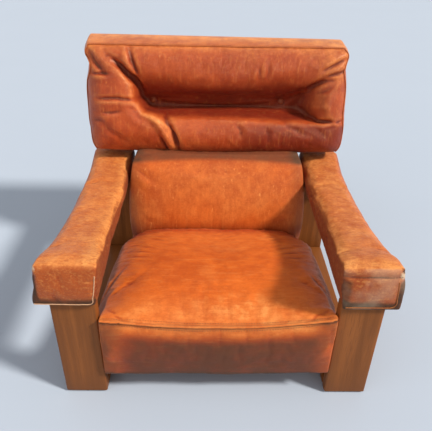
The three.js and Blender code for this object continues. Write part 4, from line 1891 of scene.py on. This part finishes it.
@dataclass
class Arm:
    """A leather-wrapped arm: a saddle-topped pad with a boxed front.

    Attributes:
        side: Which arm it is.
        cells: Mesh cells across, along and up.
        margin: How far inside the model's box the leather starts.
        edge: Rounding of the long edges.
        tail: Rounding of the rear end.
    """

    side: Side
    cells: tuple[int, int, int] = (26, 110, 18)
    margin: float = 0.0030
    edge: float = 0.013
    tail: float = 0.009

    # The top's height along the arm: depth behind the legs' face, height.
    PROFILE = ((-0.013, 0.4450), (0.020, 0.4440), (0.10, 0.421), (0.20, 0.403), (0.30, 0.390),
               (0.42, 0.382), (0.52, 0.3795), (0.62, 0.386), (0.745, 0.405))
    # The front's rounding, how far its flap hangs, and its flare: share of the height, width.
    NOSE = {Side.LEFT: 0.013, Side.RIGHT: 0.011}
    HANG = {Side.LEFT: 0.001, Side.RIGHT: 0.008}
    FLARE = {Side.LEFT: ((0.0, 0.014), (0.5, 0.003), (1.0, -0.002)),
             Side.RIGHT: ((0.0, 0.010), (0.5, 0.006), (1.0, -0.003))}

    @property
    def zero(self) -> float:
        """The frame's Y of the front legs' face."""
        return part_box("front_leg_left")[0].y

    @property
    def cover(self) -> tuple[Vector, Vector]:
        """The model's box of this arm's cover."""
        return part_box(f"arm_cover_{self.side.word}")

    def outward(self, x: Array) -> Array:
        """From -1 at the inner side of the arm to 1 at the outer side."""
        low, high = self.cover
        return (x - (low.x + high.x) / 2) * self.side.value / ((high.x - low.x) / 2)

    def shape(self, piece: Piece) -> None:
        """Moves a grid box to the arm's form.

        Args:
            piece: The grid box.
        """
        low, high = self.cover
        a, d, b = get_points(piece).T
        t, up01 = ((d + 1) / 2) ** 1.15, (b + 1) / 2
        length = high.y - low.y - 2 * self.margin
        half = (high.x - low.x) / 2 - self.margin
        local = low.y + self.margin + t * length - self.zero
        roof = curve_through(self.PROFILE, local) + 0.003 * (1 - a**2)
        tall = roof - low.z
        nose = np.full(len(a), self.NOSE[self.side])
        depths = np.c_[half * (1 - np.abs(a)), t * length, (1 - up01) * tall]
        edge = self.edge - 0.009 * ramp(0.34, 0.02, local)
        drop = edge + (nose - edge) * ramp(0.05, 0.012, local)
        depths = rounded(depths, np.c_[edge, nose, drop])
        ends = np.c_[half * (1 - np.abs(a)), (1 - t) * length, (1 - up01) * tall]
        tail = rounded(ends, np.c_[edge, np.full(len(a), self.tail), drop])
        rear = t > 0.5
        depths[rear, 0], depths[rear, 2] = tail[rear, 0], tail[rear, 2]
        depths[rear, 1] = length - tail[rear, 1]
        front = ramp(0.24, 0.015, local)
        left = self.side is Side.LEFT
        rear_in = ramp(0.35, 0.70, local) * (0.010 if left else 0.003)
        lip = (0.008 * front + 0.015 * up01 * ramp(0.62, 0.42, local)) if left else (
            (0.003 + 0.014 * up01) * front)
        flare = front * curve_through(self.FLARE[self.side], up01)
        grow = np.where(a * self.side.value > 0, flare,
                        lip + rear_in * ramp(0.2, 0.8, up01))
        x = np.sign(a) * (half - depths[:, 0]) + a * (grow + 0.002 * np.sin(np.pi * up01))
        flap = t * length < 0.0045
        hang = self.HANG[self.side] * flap * ramp(0.45, 0.0, up01)
        bulge = 0.006 * np.sin(np.pi * up01) * (1 - a**4) * (1 - t) ** 60
        z = low.z + tall - depths[:, 2] - hang
        y = low.y + self.margin + depths[:, 1] - bulge
        set_points(piece, np.c_[(low.x + high.x) / 2 + x, y, z])

    def build(self, wardrobe: Wardrobe) -> None:
        """Makes the arm's cover, seams and stitches.

        Args:
            wardrobe: The chair's finishes.
        """
        word = self.side.word
        piece = grid_box(f"arm_wrap_{word}", self.cells)
        self.shape(piece)
        points = get_points(piece)
        low, high = self.cover
        nose = (points[:, 1] < low.y + 0.014) & (points[:, 2] > high.z - 0.018)
        foot = points[:, 2] < low.z + 0.003
        held = np.flatnonzero(foot | nose)
        Upholstery(cap=0.006, pressure=1.5, slack=0.006).puff(piece, held)
        subdivide_once(piece)
        self.recess(piece)
        self.sculpt(piece)
        tree = skin_of(piece)
        hem, _ = laid_on(tree, self.hem_line(), 0.0003)
        if self.side is Side.RIGHT:
            pitch, lift = Thread().pitch, 0.0001
            seam, _ = laid_on(tree, resample(self.nose_line(), pitch), lift)
            pinch(piece, resample(seam, 0.003))
            sew_row("arm_nose_stitches", tree, self.nose_line(), lift, "arm_leather",
                    wardrobe.thread)
        self.paint(piece)
        shade_smooth(piece)
        covered = (f"arm_cover_{word}", f"arm_foam_{word}")
        settle(piece, wardrobe.arm, "arm_leather", *covered, fill=0.6)
        left = self.side is Side.LEFT
        cord = leather_cord(f"arm_hem_{word}", hem, 0.0013, grime_and_shade=0.12 if left else 0.45)
        if left:
            paint(cord, "torn", np.full(len(cord.data.vertices), 0.55))
        settle(cord, wardrobe.arm, "arm_leather")

    @property
    def corner(self) -> Vector:
        """The outer top corner of the front.

        Returns:
            A place in the row frame.
        """
        low, high = self.cover
        outer = high.x if self.side is Side.RIGHT else low.x
        drop = 0.010 if self.side is Side.RIGHT else 0.005
        return Vector((outer - self.side.value * 0.004, low.y + 0.004, high.z - drop))

    def hem_line(self) -> list[Vector]:
        """The raw edge: along the front's foot, round its right corner and up.

        Returns:
            The line's points.
        """
        low, high = self.cover
        left = self.side is Side.LEFT
        if left:
            start, end, lean, rise, short = low.x - 0.011, high.x + 0.004, 0.010, 0.003, 0.024
        else:
            start, end, lean, rise, short = low.x + 0.006, high.x - 0.008, -0.008, 0.007, 0.032
        bend = 0.014
        foot = low.z - self.HANG[self.side] + rise
        corners = ((start, foot), (end - bend, foot), (end - 0.004, foot + 0.004),
                   (end, foot + bend), (end + lean, high.z - short))
        return resample([Vector((x, low.y - 0.004, z)) for x, z in corners], 0.004)

    def nose_line(self) -> list[Vector]:
        """The seam across the front, under the bend.

        Returns:
            The line's two ends.
        """
        low, high = self.cover
        height = high.z - 0.019
        return [Vector((low.x - 0.010, low.y - 0.004, height)),
                Vector((high.x - 0.002, low.y - 0.004, height + 0.001))]

    def recess(self, piece: Piece) -> None:
        """Cuts room for the wooden board out of the underside.

        Args:
            piece: The arm's wrap.
        """
        low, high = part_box(f"arm_board_{self.side.word}")
        gap = Vector((0.0006, 0.0006, 0.0006))
        below = Vector((0, 0, 0.02))
        cutter = timber("board_room", low - gap - below, high + gap, 0.0004)
        modifier = piece.modifiers.new("room", "BOOLEAN")
        modifier.operation = "DIFFERENCE"
        modifier.object = cutter
        modifier.solver = "EXACT"
        apply_modifier(piece, "room")
        bpy.data.objects.remove(cutter)

    def sculpt(self, piece: Piece) -> None:
        """Soft dents on the top and tight wrinkles at the wrapped corners.

        Args:
            piece: The arm's wrap.
        """
        points = get_points(piece)
        low = self.cover[0]
        y = points[:, 1] - self.zero
        normals = get_normals(piece)
        outward = self.outward(points[:, 0])
        lying = ramp(0.3, 0.8, normals[:, 2])
        relief = (0.0018 * cloud(points, 10.0, 3, 11.0)
                  + 0.0009 * cloud(points, 38.0, 2, 12.0)) * lying
        facing = ramp(0.3, 0.8, -normals[:, 1])
        relief += 0.0018 * cloud(points, 16.0, 3, 13.0) * facing
        inner_corner = bell(y + 0.004, 0.022) * ramp(-0.7, -0.95, outward)
        puckers = crinkles(points[:, 2], y, 0.010, 0.05, 12.0)
        relief += 0.0011 * puckers * inner_corner
        back_line = bell(y - 0.655 - 0.01 * outward, 0.004) * lying
        relief -= 0.0012 * back_line * (1.0 if self.side is Side.RIGHT else 0.3)
        if self.side is Side.RIGHT:
            relief -= 0.003 * self.torn(points - (0.0, 0.0, 0.006), 0.005)
            relief += 0.0012 * (self.torn(points, 0.012) - self.torn(points, 0.008))
        else:
            notch = np.linalg.norm(points - np.array(self.corner) - (0, 0, -0.022), axis=1)
            relief -= 0.004 * bell(notch, 0.007)
        push(piece, relief * ramp(low.z + 0.001, low.z + 0.006, points[:, 2]))

    def torn(self, points: Points, size: float) -> Array:
        """1 within a ragged patch round the outer top corner, 0 beyond it.

        Args:
            points: Places in the row frame.
            size: The patch's radius.

        Returns:
            One number for each point.
        """
        reach = np.linalg.norm(points - np.array(self.corner), axis=1)
        ragged = np.zeros(len(points))
        close = np.flatnonzero(reach < 0.04)
        ragged[close] = 0.004 * cloud(points[close], 180.0, 3, 19.0)
        return ramp(size + 0.003, size, reach + ragged)

    def paint(self, piece: Piece) -> None:
        """Paints the worn inner edge, painted shade over the front and the side walls, and soiling
        on the front's lower edge.

        Args:
            piece: The arm's wrap.
        """
        points = get_points(piece)
        low = self.cover[0]
        y, z = points[:, 1] - self.zero, points[:, 2]
        normals = get_normals(piece)
        outward = self.outward(points[:, 0])
        rough = cloud(points, 13.0, 4, 14.0)
        lying = ramp(0.3, 0.8, normals[:, 2])
        facing = ramp(0.3, 0.8, -normals[:, 1])
        inner = ramp(-0.45, -0.95, outward)
        edge = inner * ramp(0.2, 0.6, normals[:, 2])
        paint(piece, "wear_and_highlight", 0.55 * edge + lying * (0.22 + 0.30 * ramp(-0.2, 0.7, rough))
              + 0.30 * bell(y, 0.018) + 0.16 * facing * ramp(0.0, 0.6, rough)
              + 0.2 * ramp(0.8, 0.97, outward) * ramp(0.3, 0.7, normals[:, 2]))
        stain = ramp(low.z + 0.028 + 0.016 * rough, low.z + 0.010, z)
        outer_shade_strip, shaded, hole, line, chafed = self.marks(piece, rough, facing)
        _, crease, dirt_and_shade = relief_marks(piece)
        # Painted shade on both side walls, and more of it on the inner wall.
        shaded_walls = ramp(0.5, 0.9, np.abs(normals[:, 0]))
        strength, frayed = (0.9, 0.007) if self.side is Side.LEFT else (1.0, 0.012)
        # Also painted shade: along the outer edge of the front, on its inner side and inside the
        # torn hole.
        paint(piece, "grime_and_shade", 0.5 * shaded_walls * ramp(-0.6, -0.9, outward)
              + strength * stain * facing + 0.08 * facing + hole + 0.8 * line
              + outer_shade_strip * ramp(0.15, 0.5, -normals[:, 1]) + 0.55 * shaded + 0.3 * dirt_and_shade)
        # Painted shade over the front face, on the side walls and in creases.
        paint(piece, "deep", 0.62 * facing + 0.75 * shaded_walls + crease)
        paint(piece, "torn", 0.75 * self.torn(points, frayed) - hole + chafed)

    def marks(self, piece: Piece, rough: Array, facing: Array) -> Points:
        """Where each mark of the front lies.

        Args:
            piece: The arm's wrap.
            rough: Broad noise at each vertex.
            facing: How far each vertex faces the front.

        Returns:
            Five rows: the painted shade along the outer edge, the painted shade on the inner side,
                the torn hole,
            the seam's line and the chafed leather. The left arm has only the first row.
        """
        points = get_points(piece)
        z = points[:, 2]
        outward = self.outward(points[:, 0])
        if self.side is Side.LEFT:
            # Painted shade along the outer edge of the front.
            outer_shade_strip = ramp(0.80, 0.92, outward) * ramp(0.425, 0.405, z)
            return np.array([outer_shade_strip] + [np.zeros(len(points))] * 4)
        return np.array([
            ramp(0.78, 0.86, outward) * ramp(0.418, 0.405, z),
            ramp(-0.76, -0.92, outward) * facing * ramp(0.420, 0.408, z),
            self.torn(points - (0.0, 0.0, 0.006), 0.0075),
            bell(z - self.nose_line()[0].z, 0.0012) * facing,
            0.26 * facing * ramp(-0.4, 0.6, rough),
        ])


# Frame --------------------------------------------------------------------------------------


@dataclass(frozen=True)
class Timbers:
    """The visible timbers, each with softened edges in place of its plain solid.

    Attributes:
        edge: The planks' edge radius.
        board_edge: The arm boards' edge radius.
        block_edge: The blocks' edge radius.
    """

    edge: float = 0.0045
    board_edge: float = 0.002
    block_edge: float = 0.0025

    def build(self, wardrobe: Wardrobe) -> None:
        """Makes the legs, the floor runners, the arm boards and the blocks.

        Args:
            wardrobe: The chair's finishes.
        """
        oak, beech = Species.OAK, Species.BEECH
        for side in Side:
            word = side.word
            for name, node, grain, edge, species in (
                (f"front_plank_{word}", f"front_leg_{word}", Axis.Z, self.edge, oak),
                (f"rear_plank_{word}", f"rear_leg_{word}", Axis.Z, self.edge, oak),
                (f"runner_{word}", f"floor_runner_{word}", Axis.Y, self.edge, oak),
                (f"arm_plank_{word}", f"arm_board_{word}", Axis.Y, self.board_edge, oak),
                (f"leg_support_{word}", f"leg_block_{word}", Axis.Z, self.block_edge, beech),
            ):
                low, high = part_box(node)
                piece = timber(name, low, high, edge)
                self.scuff(piece)
                settle(piece, wardrobe.timber[species][grain], species.value, node)

    @staticmethod
    def scuff(piece: Piece) -> None:
        """Dents a timber a little and darkens its foot.

        Args:
            piece: The timber.
        """
        activate(piece)
        bpy.ops.object.mode_set(mode="EDIT")
        bpy.ops.mesh.select_all(action="SELECT")
        bpy.ops.mesh.subdivide(number_cuts=3)
        bpy.ops.object.mode_set(mode="OBJECT")
        points = get_points(piece)
        push(piece, -0.0005 * np.clip(cloud(points, 30.0, 3, 15.0), 0, 1))
        paint(piece, "foot", ramp(0.075, 0.0, points[:, 2])
              + 0.35 * ramp(0.0, 0.6, cloud(points, 12.0, 3, 16.0)))


@dataclass(frozen=True)
class InnerFrame:
    """The nodes that keep their CAD shape and only get a finish."""

    def build(self, nodes: dict, wardrobe: Wardrobe) -> None:
        """Dresses every node by what it is made of.

        Args:
            nodes: The frame's CAD objects by node name.
            wardrobe: The chair's finishes.
        """
        oak, beech = wardrobe.timber[Species.OAK], wardrobe.timber[Species.BEECH]
        rules = (
            ("foam", wardrobe.foam), ("zip", wardrobe.brass), ("strap", wardrobe.webbing),
            ("glide", wardrobe.nylon), ("bolt", wardrobe.steel), ("side_rail", beech[Axis.Y]),
            ("back_post", oak[Axis.Z]), ("end_batten", oak[Axis.Z]),
            ("wing_rail", oak[Axis.X]), ("back_top", oak[Axis.X]), ("", beech[Axis.X]),
        )
        for name, piece in nodes.items():
            dress(piece, next(finish for word, finish in rules if word in name))


@dataclass(frozen=True)
class OuterBack:
    """The leather panel that closes the back, with a stitched hem.

    Attributes:
        hem: How far the stitches lie inside the head's edge.
        thick: The leather's thickness.
        rail: The thickness of the rails that the panel is fixed to.
        foot: Height on the back plane of its lower edge.
        tall: Its height.
        head_half: Half the width of its head.
        tail_half: Half the width of its tail.
        blend: The height over which the tail widens to the head.
        cells: Mesh cells across, through and up.
    """

    hem: float = 0.010
    thick: float = 0.003
    rail: float = 0.028
    foot: float = -0.120
    tall: float = 0.685
    head_half: float = 0.403
    tail_half: float = 0.262
    blend: float = 0.010
    cells: tuple[int, int, int] = (60, 2, 80)

    @property
    def rear(self) -> float:
        """Where the panel's inner face lies, out of the back plane."""
        return -(PLANE.board_thick + HAIR + self.rail + HAIR)

    def build(self, wardrobe: Wardrobe) -> None:
        """Makes the panel: a wide head with a narrower tail.

        Args:
            wardrobe: The chair's finishes.
        """
        piece = grid_box("outer_back_panel", self.cells)
        a, d, b = get_points(piece).T
        up = self.foot + (b + 1) / 2 * self.tall
        low = PLANE.board_foot
        widening = ramp(low - 0.001, low + self.blend, up)
        wide = self.tail_half + (self.head_half - self.tail_half) * widening
        swell = 0.004 * (1 - a**4) * np.sin(np.pi * (b + 1) / 2)
        out = self.rear - self.thick * (1 + d) / 2 - swell * (d > 0.5)
        set_points(piece, PLANE.place(a * wide, out, up))
        subdivide_once(piece)
        points = get_points(piece)
        push(piece, 0.0008 * np.clip(cloud(points, 7.0, 3, 17.0), 0, 1))
        rough = cloud(points, 8.0, 4, 18.0)
        _, _, up = PLANE.read(points)
        paint(piece, "wear_and_highlight", 0.2 * ramp(0.0, 0.7, rough) + 0.3 * ramp(0.55, 0.56, up))
        paint(piece, "grime_and_shade", 0.5 * ramp(0.0, -0.11, up))
        paint(piece, "deep", np.zeros(len(points)))
        shade_smooth(piece, 50.0)
        settle(piece, wardrobe.back, "back_leather", "outer_back")
        sew_row("back_hem_stitches", skin_of(piece), self.hem_line(), HAIR, "back_leather",
                wardrobe.thread)

    def hem_line(self) -> list[Vector]:
        """The closed row of stitches round the panel's head.

        Returns:
            The line's points.
        """
        side = self.head_half - self.hem
        foot = PLANE.board_foot + self.blend + self.hem
        head = self.foot + self.tall - self.hem
        x = np.array([-side, -side, side, side, -side])
        up = np.array([foot, head, head, foot, foot])
        outside = np.full(len(x), self.rear - self.thick - 0.01)
        return [Vector(p) for p in PLANE.place(x, outside, up)]


# Studio -------------------------------------------------------------------------------------


@dataclass(frozen=True)
class Studio:
    """A pale floor, soft lights and the camera.

    Attributes:
        lens: The camera's focal length in millimetres.
        sensor: The width of its sensor in millimetres.
        pitch: How far it looks down, in radians.
        yaw: How far it looks to the right, in radians.
        roll: How far it is rolled, in radians.
        stand: Where it stands.
        aim: What the lights point at.
    """

    lens: float = 41.41
    sensor: float = 36.0
    pitch: float = math.radians(31.994)
    yaw: float = math.radians(1.167)
    roll: float = math.radians(-1.266)
    stand: tuple[float, float, float] = (-0.030, -1.3462, 1.156)
    aim: tuple[float, float, float] = (0.0, -0.05, 0.3)

    def build(self) -> None:
        """Makes the whole set."""
        self.floor()
        self.lights()
        self.camera()

    def floor(self) -> None:
        """A wide pale floor and a pale surround."""
        deselect()
        bpy.ops.mesh.primitive_plane_add(size=24.0)
        floor = bpy.context.active_object
        floor.name = "studio_floor"
        nodes = Nodes("pale_floor")
        tone = nodes.noise(2.0, 3.0)
        colour = nodes.mix(tone, (0.432, 0.482, 0.556), (0.444, 0.494, 0.568))
        dress(floor, nodes.finish(colour, 0.9))
        world = bpy.data.worlds.new("studio")
        world.use_nodes = True
        background = world.node_tree.nodes["Background"]
        background.inputs["Color"].default_value = (0.93, 0.96, 1.0, 1.0)
        background.inputs["Strength"].default_value = 0.54
        bpy.context.scene.world = world
        bpy.context.scene.view_settings.view_transform = "Standard"

    def lights(self) -> None:
        """A broad soft key from the upper right, and a wide fill from the front left."""
        spots = (
            ("key", (2.3, -1.05, 2.6), math.radians(8.0), 3.85, (1.0, 0.970, 0.915)),
            ("fill", (-2.2, -1.8, 2.0), math.radians(60.0), 0.50, (0.95, 0.97, 1.0)),
        )
        for name, place, angle, power, tint in spots:
            light = bpy.data.lights.new(name, "SUN")
            light.angle = angle
            light.energy = power
            light.color = tint
            lamp = bpy.data.objects.new(name, light)
            lamp.location = place
            lamp.rotation_mode = "QUATERNION"
            ray = Vector(self.aim) - lamp.location
            lamp.rotation_quaternion = ray.to_track_quat("-Z", "Y")
            bpy.context.scene.collection.objects.link(lamp)

    def camera(self) -> None:
        """The camera, from its pitch, yaw and roll."""
        ahead = Vector((
            math.sin(self.yaw) * math.cos(self.pitch),
            math.cos(self.yaw) * math.cos(self.pitch),
            -math.sin(self.pitch),
        ))
        level = Vector((math.cos(self.yaw), -math.sin(self.yaw), 0.0))
        down = ahead.cross(level)
        right = level * math.cos(self.roll) + down * math.sin(self.roll)
        under = down * math.cos(self.roll) - level * math.sin(self.roll)
        data = bpy.data.cameras.new("camera")
        data.lens = self.lens
        data.sensor_width = self.sensor
        camera = bpy.data.objects.new("camera", data)
        axes = Matrix((right, -under, -ahead)).transposed().to_4x4()
        camera.matrix_world = Matrix.Translation(self.stand) @ axes
        bpy.context.scene.collection.objects.link(camera)
        bpy.context.scene.camera = camera


def main() -> None:
    """Builds the chair in order."""
    logging.basicConfig(level=logging.INFO, format="%(message)s")
    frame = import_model()
    wardrobe = Wardrobe()
    InnerFrame().build(frame["nodes"], wardrobe)
    Timbers().build(wardrobe)
    OuterBack().build(wardrobe)
    HeadCushion().build(wardrobe)
    LumbarCushion().build(wardrobe)
    SeatCushion().build(wardrobe)
    for side in Side:
        Arm(side).build(wardrobe)
    Studio().build()


if __name__ == "__main__":
    main()
